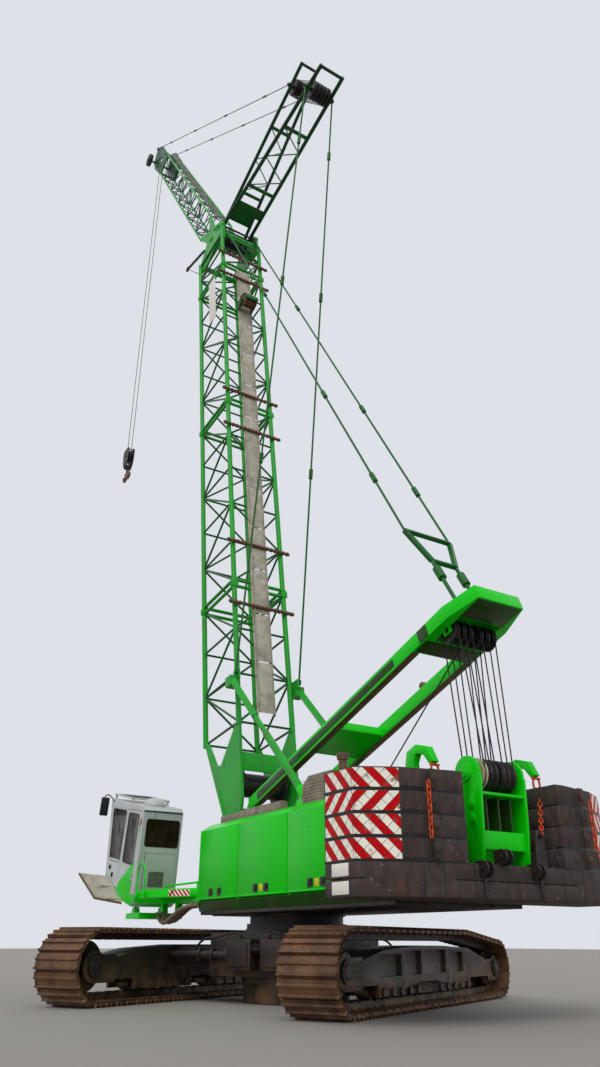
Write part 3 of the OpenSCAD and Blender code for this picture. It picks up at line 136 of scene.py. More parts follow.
class Bench:
    """Operator sequences that every sub-assembly uses."""

    @staticmethod
    def clear() -> None:
        """Leave edit mode and deselect everything."""
        if bpy.context.object and bpy.context.object.mode != "OBJECT":
            bpy.ops.object.mode_set(mode="OBJECT")
        bpy.ops.object.select_all(action="DESELECT")

    @staticmethod
    def focus(piece: Piece) -> None:
        """Select one piece alone and make it the active one."""
        Bench.clear()
        piece.select_set(True)
        bpy.context.view_layer.objects.active = piece

    @staticmethod
    def edit(piece: Piece, element: Element = Element.FACE, everything: bool = False) -> None:
        """Enter edit mode on a piece with nothing, or everything, selected."""
        Bench.focus(piece)
        bpy.ops.object.mode_set(mode="EDIT")
        bpy.ops.mesh.select_mode(type=element.value)
        bpy.ops.mesh.select_all(action="SELECT" if everything else "DESELECT")

    @staticmethod
    def leave() -> None:
        """Leave edit mode."""
        bpy.ops.object.mode_set(mode="OBJECT")

    @staticmethod
    def settle() -> None:
        """Apply the places of the selected pieces to their meshes."""
        bpy.ops.object.transform_apply(location=True, rotation=True, scale=True)

    @staticmethod
    def pick(piece: Piece, element: Element, test: Callable[[Vector, Vector], bool]) -> None:
        """Select the elements that pass a test, in edit mode.

        Args:
            piece: The piece being edited.
            element: Vertices, edges or faces.
            test: Takes an element's middle and its normal, or an edge's direction.
        """
        bpy.ops.mesh.select_mode(type=element.value)
        bpy.ops.mesh.select_all(action="DESELECT")
        mesh = bmesh.from_edit_mesh(piece.data)
        if element is Element.FACE:
            for face in mesh.faces:
                face.select = test(face.calc_center_median(), face.normal)
        elif element is Element.EDGE:
            for edge in mesh.edges:
                a, b = (v.co for v in edge.verts)
                edge.select = test((a + b) / 2, (b - a).normalized())
        else:
            for vertex in mesh.verts:
                vertex.select = test(vertex.co, vertex.normal)
        mesh.select_flush_mode()
        bmesh.update_edit_mesh(piece.data)

    @staticmethod
    def plate(outline: Sequence[Flat], thickness: float, bevel: float = 0.0) -> Piece:
        """Model a plate: a filled ring of vertices set to its outline, extruded along +Z.

        Args:
            outline: Corners in X and Y.
            thickness: Thickness along Z.
            bevel: Width of the broken edges, or nought.

        Returns:
            The plate, lying on Z = 0.
        """
        Bench.clear()
        bpy.ops.mesh.primitive_circle_add(vertices=len(outline), fill_type="NGON")
        piece = bpy.context.object
        for vertex, (u, v) in zip(piece.data.vertices, outline):
            vertex.co = (u, v, 0)
        Bench.edit(piece, everything=True)
        bpy.ops.mesh.extrude_region_move(TRANSFORM_OT_translate={"value": (0, 0, thickness)})
        bpy.ops.mesh.select_all(action="SELECT")
        bpy.ops.mesh.normals_make_consistent(inside=False)
        if bevel:
            bpy.ops.mesh.bevel(offset=bevel, segments=1, affect="EDGES")
        Bench.leave()
        return piece

    @staticmethod
    def wall(outline: Sequence[Flat], y: float, thickness: float, bevel: float = 0.0) -> Piece:
        """Model a plate with its outline in X and Z, centred on y across the machine."""
        return Bench.place(Bench.plate(outline, thickness, bevel), upright(y, thickness))

    @staticmethod
    def panel(piece: Piece, test: Callable[[Vector, Vector], bool], margin: float, sink: Point) -> None:
        """Inset the faces that pass a test and move them.

        Args:
            piece: The piece.
            test: Takes a face's middle and its normal.
            margin: Width of the inset.
            sink: How far the inset faces move.
        """
        Bench.edit(piece)
        Bench.pick(piece, Element.FACE, test)
        bpy.ops.mesh.inset(thickness=margin)
        bpy.ops.transform.translate(value=sink)
        Bench.leave()

    @staticmethod
    def bar(low: Point, high: Point, bevel: float = 0.01) -> Piece:
        """Model a block between two corners with its edges broken.

        Args:
            low: Rear, right and lower corner.
            high: Front, left and upper corner.
            bevel: Width of the broken edges.

        Returns:
            The block.
        """
        Bench.clear()
        size = Vector(high) - Vector(low)
        bpy.ops.mesh.primitive_cube_add(size=1, location=(Vector(low) + Vector(high)) / 2, scale=size)
        Bench.settle()
        piece = bpy.context.object
        Bench.edit(piece, Element.EDGE, everything=True)
        bpy.ops.mesh.bevel(offset=bevel, segments=2, affect="EDGES")
        Bench.leave()
        return piece

    @staticmethod
    def lathe(profile: Sequence[Flat], steps: int = 24, hollow: bool = False) -> Piece:
        """Turn a profile of radius and height about +Z by a spin.

        Args:
            profile: Points of radius and height, a closed loop if hollow, else from axis to axis.
            steps: Faces round the turn.
            hollow: Whether the profile is a closed loop off the axis.

        Returns:
            The turned piece.
        """
        Bench.clear()
        bpy.ops.mesh.primitive_circle_add(vertices=len(profile), fill_type="NOTHING")
        piece = bpy.context.object
        for vertex, (radius, height) in zip(piece.data.vertices, profile):
            vertex.co = (radius, 0, height)
        if not hollow:
            Bench.edit(piece, Element.EDGE)
            Bench.pick(piece, Element.EDGE, lambda mid, way: abs(mid.x) < 1e-6)
            bpy.ops.mesh.delete(type="EDGE")
            Bench.leave()
        Bench.edit(piece, Element.VERT, everything=True)
        bpy.ops.mesh.spin(steps=steps, angle=math.tau, center=(0, 0, 0), axis=(0, 0, 1))
        bpy.ops.mesh.select_all(action="SELECT")
        bpy.ops.mesh.remove_doubles(threshold=1e-4)
        bpy.ops.mesh.select_all(action="SELECT")
        bpy.ops.mesh.normals_make_consistent(inside=False)
        Bench.leave()
        return piece

    @staticmethod
    def round_bar(radius: float, length: float, sides: int = 12, bead: float = 0.0, seat: float = 0.05) -> Piece:
        """Model a tube along +Z, with a raised weld bead near each end where it has a seat.

        Args:
            radius: Radius of the tube.
            length: Length from end to end.
            sides: Faces round it.
            bead: How far the weld beads stand proud, or nought.
            seat: Distance from each end to its bead.

        Returns:
            The tube, from Z = 0 up.
        """
        Bench.clear()
        core = length - 2 * seat - 4 * bead if bead else length
        bpy.ops.mesh.primitive_cylinder_add(vertices=sides, radius=radius, depth=core, location=(0, 0, length / 2))
        Bench.settle()
        piece = bpy.context.object
        if not bead:
            Bench.edit(piece, Element.EDGE)
            Bench.pick(piece, Element.EDGE, lambda mid, way: abs(way.z) < 0.5)
            bpy.ops.mesh.bevel(offset=min(radius * 0.12, 0.006), segments=1, affect="EDGES")
            Bench.leave()
            return piece
        Bench.edit(piece)
        for side in (-1, 1):
            steps = ((bead, 1 + bead / radius), (bead, 1 / (1 + bead / radius)), (seat, 1.0))
            Bench.pick(piece, Element.FACE, lambda mid, normal: normal.z * side > 0.9)
            for rise, scale in steps:
                bpy.ops.mesh.extrude_region_move(TRANSFORM_OT_translate={"value": (0, 0, rise * side)})
                bpy.ops.transform.resize(value=(scale, scale, 1), center_override=(0, 0, 0))
        Bench.leave()
        return piece

    @staticmethod
    def pin(radius: float, half: float, x: float, z: float, sides: int = 20) -> Piece:
        """Model a round bar across the machine's middle, half its length to each side."""
        return Bench.place(Bench.round_bar(radius, 2 * half, sides), across(x, -half, z))

    @staticmethod
    def pipe(points: Sequence[Point], radius: float, resolution: int = 6) -> Piece:
        """Bend a pipe through points: a curve with a round bevel, turned into a mesh.

        Args:
            points: Points that it passes through.
            radius: Its radius.
            resolution: Lengths between two points.

        Returns:
            The pipe.
        """
        Bench.clear()
        bpy.ops.curve.primitive_bezier_curve_add(location=(0, 0, 0))
        curve = bpy.context.object
        spline = curve.data.splines[0]
        spline.bezier_points.add(len(points) - 2)
        for knot, place in zip(spline.bezier_points, points):
            knot.co = place
            knot.handle_left_type = "AUTO"
            knot.handle_right_type = "AUTO"
        curve.data.bevel_depth = radius
        curve.data.bevel_resolution = 2
        curve.data.resolution_u = resolution
        curve.data.use_fill_caps = True
        bpy.ops.object.convert(target="MESH")
        return bpy.context.object

    @staticmethod
    def link(length: float, width: float, wire: float) -> Piece:
        """Model a chain link: a torus whose halves are drawn apart along Z.

        Args:
            length: Length over the bends.
            width: Width over the sides.
            wire: Thickness of its wire.

        Returns:
            The link.
        """
        Bench.clear()
        bpy.ops.mesh.primitive_torus_add(
            major_radius=width / 2 - wire / 2, minor_radius=wire / 2, major_segments=12, minor_segments=6,
            rotation=(math.pi / 2, 0, 0))
        Bench.settle()
        piece = bpy.context.object
        Bench.edit(piece, Element.VERT)
        for side in (-1, 1):
            Bench.pick(piece, Element.VERT, lambda place, normal: place.z * side > 1e-4)
            bpy.ops.transform.translate(value=(0, 0, side * (length - width) / 2))
        Bench.leave()
        return piece

    @staticmethod
    def ring(radius: float, wire: float, sides: int = 32) -> Piece:
        """Model a round ring about +Z."""
        Bench.clear()
        bpy.ops.mesh.primitive_torus_add(
            major_radius=radius, minor_radius=wire, major_segments=sides, minor_segments=6)
        return bpy.context.object

    @staticmethod
    def lines(ends: Sequence[tuple[Vector, Vector]], radius: float, cuts: int = 0, sides: int = 8) -> list[Piece]:
        """Model straight lines of rope, cut into lengths so that they can bend.

        Args:
            ends: Where each line starts and ends.
            radius: Radius of the rope.
            cuts: Rings of vertices between the ends.
            sides: Faces round the rope.

        Returns:
            The lines.
        """
        Bench.clear()
        bpy.ops.mesh.primitive_cylinder_add(vertices=sides, radius=radius, depth=1, location=(0, 0, 0.5))
        piece = bpy.context.object
        if cuts:
            Bench.settle()
            Bench.edit(piece, Element.EDGE)
            Bench.pick(piece, Element.EDGE, lambda mid, way: abs(way.z) > 0.9)
            bpy.ops.mesh.subdivide(number_cuts=cuts)
            Bench.leave()
        places = [along(a, b) @ Matrix.Scale((b - a).length, 4, (0, 0, 1)) for a, b in ends]
        return Bench.copies(piece, places)

    @staticmethod
    def sheet(path: Sequence[Flat], low: float, high: float) -> Piece:
        """Model a thin sheet bent along a path, with its UV map in metres.

        Args:
            path: Corners in X and Y.
            low: Height of its lower edge.
            high: Height of its upper edge.

        Returns:
            The sheet.
        """
        Bench.clear()
        bpy.ops.mesh.primitive_grid_add(x_subdivisions=len(path) - 1, y_subdivisions=1, size=1)
        piece = bpy.context.object
        reach = [0.0]
        for a, b in zip(path, path[1:]):
            reach.append(reach[-1] + math.dist(a, b))
        columns = len(path)
        for i, vertex in enumerate(piece.data.vertices):
            x, y = path[i % columns]
            vertex.co = (x, y, high if i >= columns else low)
        layer = piece.data.uv_layers.active.data
        for loop in piece.data.loops:
            i = loop.vertex_index
            layer[loop.index].uv = (reach[i % columns], (high if i >= columns else low) - low)
        return piece

    @staticmethod
    def place(piece: Piece, where: Matrix) -> Piece:
        """Move a piece's mesh by a matrix and leave its object at the origin.

        Args:
            piece: The piece.
            where: Where it goes, which may mirror it.

        Returns:
            The same piece.
        """
        piece.data.transform(piece.matrix_world)
        piece.matrix_world = WORLD
        piece.data.transform(where)
        if where.determinant() < 0:
            piece.data.flip_normals()
        return piece

    @staticmethod
    def copies(piece: Piece, places: Iterable[Matrix]) -> list[Piece]:
        """Copy a model to its places, each copy with its own mesh, and scrap the model.

        Args:
            piece: The model, which is gone afterwards.
            places: A place for each copy.

        Returns:
            The copies.
        """
        made = []
        for where in places:
            twin = piece.copy()
            twin.data = piece.data.copy()
            bpy.context.collection.objects.link(twin)
            made.append(Bench.place(twin, where))
        bpy.data.objects.remove(piece)
        return made

    @staticmethod
    def join(pieces: Sequence[Piece]) -> Piece:
        """Join pieces into one object at the origin."""
        Bench.clear()
        for piece in pieces:
            piece.select_set(True)
        bpy.context.view_layer.objects.active = pieces[0]
        if len(pieces) > 1:
            bpy.ops.object.join()
        Bench.settle()
        return bpy.context.object

    @staticmethod
    def smooth(piece: Piece, angle: float = 35) -> Piece:
        """Shade a piece smooth, apart from edges sharper than an angle in degrees."""
        Bench.focus(piece)
        bpy.ops.object.shade_smooth_by_angle(angle=math.radians(angle))
        return piece


def along(a: Point | Vector, b: Point | Vector) -> Matrix:
    """A place at a, with +Z towards b."""
    way = Vector(b) - Vector(a)
    return Matrix.Translation(a) @ way.to_track_quat("Z", "Y").to_matrix().to_4x4()


def shift(x: float, y: float, z: float) -> Matrix:
    """A move without a turn."""
    return Matrix.Translation((x, y, z))


def turned(axis: str, degrees: float = 90) -> Matrix:
    """A turn about one of the axes."""
    return Matrix.Rotation(math.radians(degrees), 4, axis)


def upright(y: float, thickness: float) -> Matrix:
    """Stands a plate up in X and Z, centred on y across the machine."""
    return shift(0, y + thickness / 2, 0) @ turned("X")


def across(x: float, y: float, z: float) -> Matrix:
    """Lays a turned piece across the machine, its +Z towards +Y."""
    return shift(x, y, z) @ turned("X", -90)


def both_ends(profile: Sequence[Flat]) -> list[Flat]:
    """A profile of radius and height, followed by its mirror image about height nought."""
    return [*profile, *((radius, -height) for radius, height in reversed(profile))]


WORLD = Matrix.Identity(4)
MIRROR = Matrix.Scale(-1, 4, (0, 1, 0))


@dataclass(frozen=True)
class Stand:
    """A working frame that leans in the machine's own plane: Z along a part and X square to it."""

    origin: Point
    lean: float

    @property
    def matrix(self) -> Matrix:
        """The frame's place."""
        return Matrix.Translation(self.origin) @ turned("Y", self.lean)

    def at(self, x: float, y: float, z: float) -> Vector:
        """A point of the frame, in the machine's axes."""
        return self.matrix @ Vector((x, y, z))


FOOT = (1.3, 0.0, 2.7)
BOOM_LENGTH = 20.3
JIB_LENGTH = 14.9
BOOM = Stand(FOOT, 8.3)
MAST = Stand(FOOT, -70.8)
JIB = Stand(tuple(BOOM.at(0.52, 0, BOOM_LENGTH)), 31.4)
FRONT_STRUT = Stand(JIB.origin, -59.5)
REAR_STRUT = Stand(tuple(BOOM.at(0, 0, BOOM_LENGTH)), -77.7)
REAR_HALF = 0.38
FRONT_HALF = 0.28
PACK_SHARES = (-0.62, -0.31, 0, 0.31, 0.62)
CRAWLER_TURN = -62.6
TRACK_GAUGE = 4.73


def crawler(hand: int) -> Matrix:
    """Place of a crawler: +1 left, -1 right."""
    return turned("Z", CRAWLER_TURN) @ shift(0, hand * TRACK_GAUGE / 2, 0)


# Finishes


class Sheet:
    """A material's node tree, with a method for each kind of node that the finishes use."""

    def __init__(self, name: str) -> None:
        """Start a material with its Principled shader."""
        self.material = bpy.data.materials.new(name)
        self.material.use_nodes = True
        self.nodes = self.material.node_tree.nodes
        self.links = self.material.node_tree.links
        self.shader = self.nodes["Principled BSDF"]
        self.coordinates = self.nodes.new("ShaderNodeTexCoord")

    def set(self, socket: str, value: float | Colour) -> None:
        """Set a constant on the shader's own socket."""
        self.shader.inputs[socket].default_value = (*value, 1.0) if isinstance(value, tuple) else value

    def wire(self, output: Socket, socket: str) -> None:
        """Join an output to one of the shader's sockets."""
        self.links.new(output, self.shader.inputs[socket])

    def vector(self, scale: Point = (1, 1, 1), turn: Point = (0, 0, 0), source: str = "Object") -> Socket:
        """Coordinates of the piece, scaled and turned by a Mapping node.

        Args:
            scale: How often a pattern repeats along each axis.
            turn: Turn about each axis.
            source: Object coordinates, or the piece's UV map.

        Returns:
            The coordinates.
        """
        mapping = self.nodes.new("ShaderNodeMapping")
        mapping.inputs["Scale"].default_value = scale
        mapping.inputs["Rotation"].default_value = turn
        self.links.new(self.coordinates.outputs[source], mapping.inputs["Vector"])
        return mapping.outputs["Vector"]

    def noise(self, vector: Socket, scale: float, detail: float = 4) -> Socket:
        """Noise, 0 to 1.

        Args:
            vector: Coordinates.
            scale: Spots to a metre.
            detail: Finer layers.

        Returns:
            The noise.
        """
        node = self.nodes.new("ShaderNodeTexNoise")
        node.inputs["Scale"].default_value = scale
        node.inputs["Detail"].default_value = detail
        self.links.new(vector, node.inputs["Vector"])
        return node.outputs["Fac"]

    def cells(self, vector: Socket, scale: float) -> Socket:
        """Distance to the nearest of scattered points."""
        node = self.nodes.new("ShaderNodeTexVoronoi")
        node.inputs["Scale"].default_value = scale
        self.links.new(vector, node.inputs["Vector"])
        return node.outputs["Distance"]

    def band(self, value: Socket, low: float, high: float) -> Socket:
        """Map a value from low..high to 0..1, clamped.

        Args:
            value: The value.
            low: What becomes 0.
            high: What becomes 1.

        Returns:
            The result.
        """
        node = self.nodes.new("ShaderNodeMapRange")
        node.inputs["From Min"].default_value = low
        node.inputs["From Max"].default_value = high
        self.links.new(value, node.inputs["Value"])
        return node.outputs["Result"]

    def calc(self, kind: str, a: Socket, b: Socket | float) -> Socket:
        """A Math node.

        Args:
            kind: The operation.
            a: First value.
            b: Second value, wired or constant.

        Returns:
            The result.
        """
        node = self.nodes.new("ShaderNodeMath")
        node.operation = kind
        self.links.new(a, node.inputs[0])
        if isinstance(b, (int, float)):
            node.inputs[1].default_value = b
        else:
            self.links.new(b, node.inputs[1])
        return node.outputs[0]

    def repeat(self, value: Socket, period: float) -> Socket:
        """A value that climbs from 0 to 1 in each period."""
        return self.calc("FRACT", self.calc("DIVIDE", value, period), 0)

    def axes(self, vector: Socket) -> tuple[Socket, ...]:
        """The X, Y and Z of a vector."""
        node = self.nodes.new("ShaderNodeSeparateXYZ")
        self.links.new(vector, node.inputs[0])
        return tuple(node.outputs)

    def mix(self, share: Socket, a: Socket | Colour, b: Socket | Colour) -> Socket:
        """Mix two colours by a share.

        Args:
            share: How much of the second colour.
            a: First colour, wired or constant.
            b: Second colour, wired or constant.

        Returns:
            The mixed colour.
        """
        node = self.nodes.new("ShaderNodeMix")
        node.data_type = "RGBA"
        self.links.new(share, node.inputs["Factor"])
        for value, socket in ((a, node.inputs[6]), (b, node.inputs[7])):
            if isinstance(value, tuple):
                socket.default_value = (*value, 1.0)
            else:
                self.links.new(value, socket)
        return node.outputs[2]

    def relief(self, height: Socket, depth: float, strength: float = 0.6) -> None:
        """Bump the surface by a height of a depth in metres.

        Args:
            height: Height, 0 to 1.
            depth: Depth of the relief.
            strength: How much of it shows.
        """
        node = self.nodes.new("ShaderNodeBump")
        node.inputs["Strength"].default_value = strength
        node.inputs["Distance"].default_value = depth
        self.links.new(height, node.inputs["Height"])
        self.links.new(node.outputs["Normal"], self.shader.inputs["Normal"])


@dataclass(frozen=True)
class Enamel:
    """Machine paint: faded in patches, with dust, rain streaks and chips down to the primer."""

    name: str
    colour: Colour
    faded: Colour
    dirt: Colour = tone(88, 74, 58)
    rough: float = 0.38
    dirt_from: float = 0.56
    chips_from: float = 0.72

    def material(self) -> bpy.types.Material:
        """Build the material."""
        sheet = Sheet(self.name)
        flat = sheet.vector()
        patches = sheet.band(sheet.noise(flat, 0.9, 5), 0.35, 0.7)
        paint = sheet.mix(patches, self.colour, self.faded)
        streaks = sheet.noise(sheet.vector((5, 5, 0.55)), 2.2, 6)
        grime = sheet.band(sheet.calc("MULTIPLY", streaks, sheet.band(sheet.noise(flat, 2.6, 6), 0.2, 0.75)),
                           self.dirt_from - 0.12, self.dirt_from + 0.3)
        dusty = sheet.mix(grime, paint, self.dirt)
        chips = sheet.band(sheet.noise(flat, 21, 3), self.chips_from, self.chips_from + 0.03)
        sheet.wire(sheet.mix(chips, dusty, tone(70, 60, 52)), "Base Color")
        sheet.wire(sheet.band(grime, -0.55 * self.rough / 0.38, 1.25), "Roughness")
        sheet.set("Specular IOR Level", 0.22)
        sheet.set("Coat Weight", 0.04)
        sheet.set("Coat Roughness", 0.3)
        grain = sheet.calc("SUBTRACT", sheet.noise(flat, 60, 2), chips)
        sheet.relief(grain, 0.0015, 0.5)
        return sheet.material


@dataclass(frozen=True)
class Iron:
    """Bare or primed steel with rust, oil and dried mud that thickens towards the ground."""

    name: str
    colour: Colour
    rust: Colour
    mud: Colour = tone(126, 98, 70)
    mud_high: float = 0.9
    rust_share: float = 0.5
    rough: float = 0.72
    metal: float = 0.25
    grain: float = 0.004

    def material(self) -> bpy.types.Material:
        """Build the material."""
        sheet = Sheet(self.name)
        flat = sheet.vector()
        blotches = sheet.noise(flat, 3.2, 8)
        fine = sheet.noise(flat, 26, 6)
        rusty = sheet.band(blotches, 0.62 - 0.3 * self.rust_share, 0.78 - 0.2 * self.rust_share)
        skin = sheet.mix(rusty, self.colour, self.rust)
        shaded = sheet.mix(sheet.band(fine, 0.3, 0.75), skin, tuple(0.55 * c for c in self.colour))
        height = sheet.axes(flat)[2]
        splash = sheet.calc("MULTIPLY", sheet.band(height, self.mud_high, 0.0), sheet.band(blotches, 0.35, 0.6))
        sheet.wire(sheet.mix(splash, shaded, self.mud), "Base Color")
        sheet.set("Metallic", self.metal)
        sheet.wire(sheet.band(fine, 0.9 - self.rough * 2, 1.6), "Roughness")
        sheet.relief(sheet.calc("ADD", fine, blotches), self.grain, 0.7)
        return sheet.material


@dataclass(frozen=True)
class CastBlock:
    """Painted ballast: dark brown-grey, rain-washed from the top, with pale dust and rust runs."""

    name: str
    colour: Colour
    washed: Colour
    rust: Colour = tone(92, 62, 48)

    def material(self) -> bpy.types.Material:
        """Build the material."""
        sheet = Sheet(self.name)
        flat = sheet.vector()
        runs = sheet.noise(sheet.vector((4, 4, 1.5)), 2.4, 7)
        body = sheet.mix(sheet.band(runs, 0.38, 0.72), self.colour, self.washed)
        stains = sheet.band(sheet.calc("MULTIPLY", runs, sheet.noise(flat, 1.7, 5)), 0.32, 0.46)
        scuffs = sheet.band(sheet.noise(flat, 12, 8), 0.66, 0.72)
        sheet.wire(sheet.mix(scuffs, sheet.mix(stains, body, self.rust), tone(124, 112, 104)), "Base Color")
        sheet.wire(sheet.band(runs, -0.9, 1.3), "Roughness")
        sheet.set("Specular IOR Level", 0.2)
        sheet.relief(sheet.noise(flat, 42, 6), 0.003, 0.6)
        return sheet.material


@dataclass(frozen=True)
class WireRope:
    """Greased wire rope: strands laid round it as slanting bands."""

    name: str
    colour: Colour
    pale: Colour

    def material(self) -> bpy.types.Material:
        """Build the material."""
        sheet = Sheet(self.name)
        strand = sheet.nodes.new("ShaderNodeTexWave")
        strand.bands_direction = "DIAGONAL"
        strand.inputs["Scale"].default_value = 14
        sheet.links.new(sheet.vector(), strand.inputs["Vector"])
        lay = strand.outputs["Fac"]
        worn = sheet.band(sheet.noise(sheet.vector(), 1.6, 4), 0.4, 0.7)
        sheet.wire(sheet.mix(sheet.calc("MULTIPLY", lay, worn), self.colour, self.pale), "Base Color")
        sheet.set("Metallic", 0.7)
        sheet.set("Roughness", 0.5)
        sheet.relief(lay, 0.004, 0.8)
        return sheet.material


@dataclass(frozen=True)
class Grating:
    """Walkway steel or a box's sheet, dulled and dusty, with a fine relief or rows of holes."""

    name: str
    colour: Colour
    dull: Colour
    holes: float = 0.0

    def material(self) -> bpy.types.Material:
        """Build the material."""
        sheet = Sheet(self.name)
        flat = sheet.vector()
        spangle = sheet.band(sheet.noise(flat, 5, 7), 0.35, 0.7)
        skin = sheet.mix(spangle, self.colour, self.dull)
        if self.holes:
            dots = sheet.band(sheet.cells(flat, self.holes), 0.28, 0.34)
            skin = sheet.mix(dots, tone(52, 46, 42), skin)
            sheet.relief(dots, 0.006, 0.8)
        else:
            sheet.relief(sheet.cells(flat, 45), 0.002, 0.5)
        sheet.wire(skin, "Base Color")
        sheet.set("Metallic", 0.15)
        sheet.wire(sheet.band(spangle, -0.9, 1.2), "Roughness")
        return sheet.material


class Slant(Enum):
    """Which way a warning board's stripes lean, seen from outside on the left side."""

    FALLING = 1
    RISING = -1


@dataclass(frozen=True)
class WarningBoard:
    """Red and cream slanting stripes of reflecting sheet, cut by the thin lines of its cells."""

    name: str
    slant: Slant
    period: float = 0.3
    cell: float = 0.106
    red: Colour = tone(198, 2, 12)
    cream: Colour = tone(250, 246, 230)

    def material(self) -> bpy.types.Material:
        """Build the material, on the board's own UV map, which is in metres."""
        sheet = Sheet(self.name)
        flat = sheet.vector(source="UV")
        u, v, _ = sheet.axes(flat)
        lean = sheet.calc("MULTIPLY", v, float(self.slant.value))
        slope, other = sheet.calc("ADD", u, lean), sheet.calc("SUBTRACT", u, lean)
        stripe = sheet.calc("GREATER_THAN", sheet.repeat(slope, self.period), 0.5)
        seam = sheet.calc("LESS_THAN", sheet.repeat(other, self.cell * 1.6), 0.05)
        edge = sheet.calc("LESS_THAN", sheet.repeat(slope, self.period / 2), 0.035)
        board = sheet.mix(stripe, self.cream, self.red)
        grubby = sheet.band(sheet.noise(sheet.vector(), 8, 7), 0.6, 0.75)
        lined = sheet.mix(sheet.calc("MAXIMUM", seam, edge), board, tone(70, 30, 30))
        sheet.wire(sheet.mix(grubby, lined, tone(120, 92, 72)), "Base Color")
        sheet.set("Roughness", 0.45)
        sheet.set("Specular IOR Level", 0.12)
        sheet.relief(sheet.noise(flat, 60, 2), 0.001, 0.3)
        return sheet.material


@dataclass(frozen=True)
class Pane:
    """Dark tinted cab glass with a film of dust."""

    name: str
    colour: Colour = tone(34, 24, 18)

    def material(self) -> bpy.types.Material:
        """Build the material."""
        sheet = Sheet(self.name)
        film = sheet.band(sheet.noise(sheet.vector((2, 2, 1)), 3, 6), 0.45, 0.8)
        sheet.wire(sheet.mix(film, self.colour, tone(58, 46, 38)), "Base Color")
        sheet.wire(sheet.band(film, -0.3, 1.6), "Roughness")
        sheet.set("Specular IOR Level", 0.12)
        return sheet.material


@dataclass(frozen=True)
class Moulded:
    """Rubber or moulded plastic with a fine grain."""

    name: str
    colour: Colour
    rough: float = 0.6

    def material(self) -> bpy.types.Material:
        """Build the material."""
        sheet = Sheet(self.name)
        flat = sheet.vector()
        dust = sheet.band(sheet.noise(flat, 6, 6), 0.5, 0.85)
        dusty = tuple(min(1.0, channel * 1.7 + 0.03) for channel in self.colour)
        sheet.wire(sheet.mix(dust, self.colour, dusty), "Base Color")
        sheet.set("Roughness", self.rough)
        sheet.relief(sheet.cells(flat, 240), 0.0008, 0.4)
        return sheet.material


Look = Enamel | Iron | CastBlock | WireRope | Grating | WarningBoard | Pane | Moulded


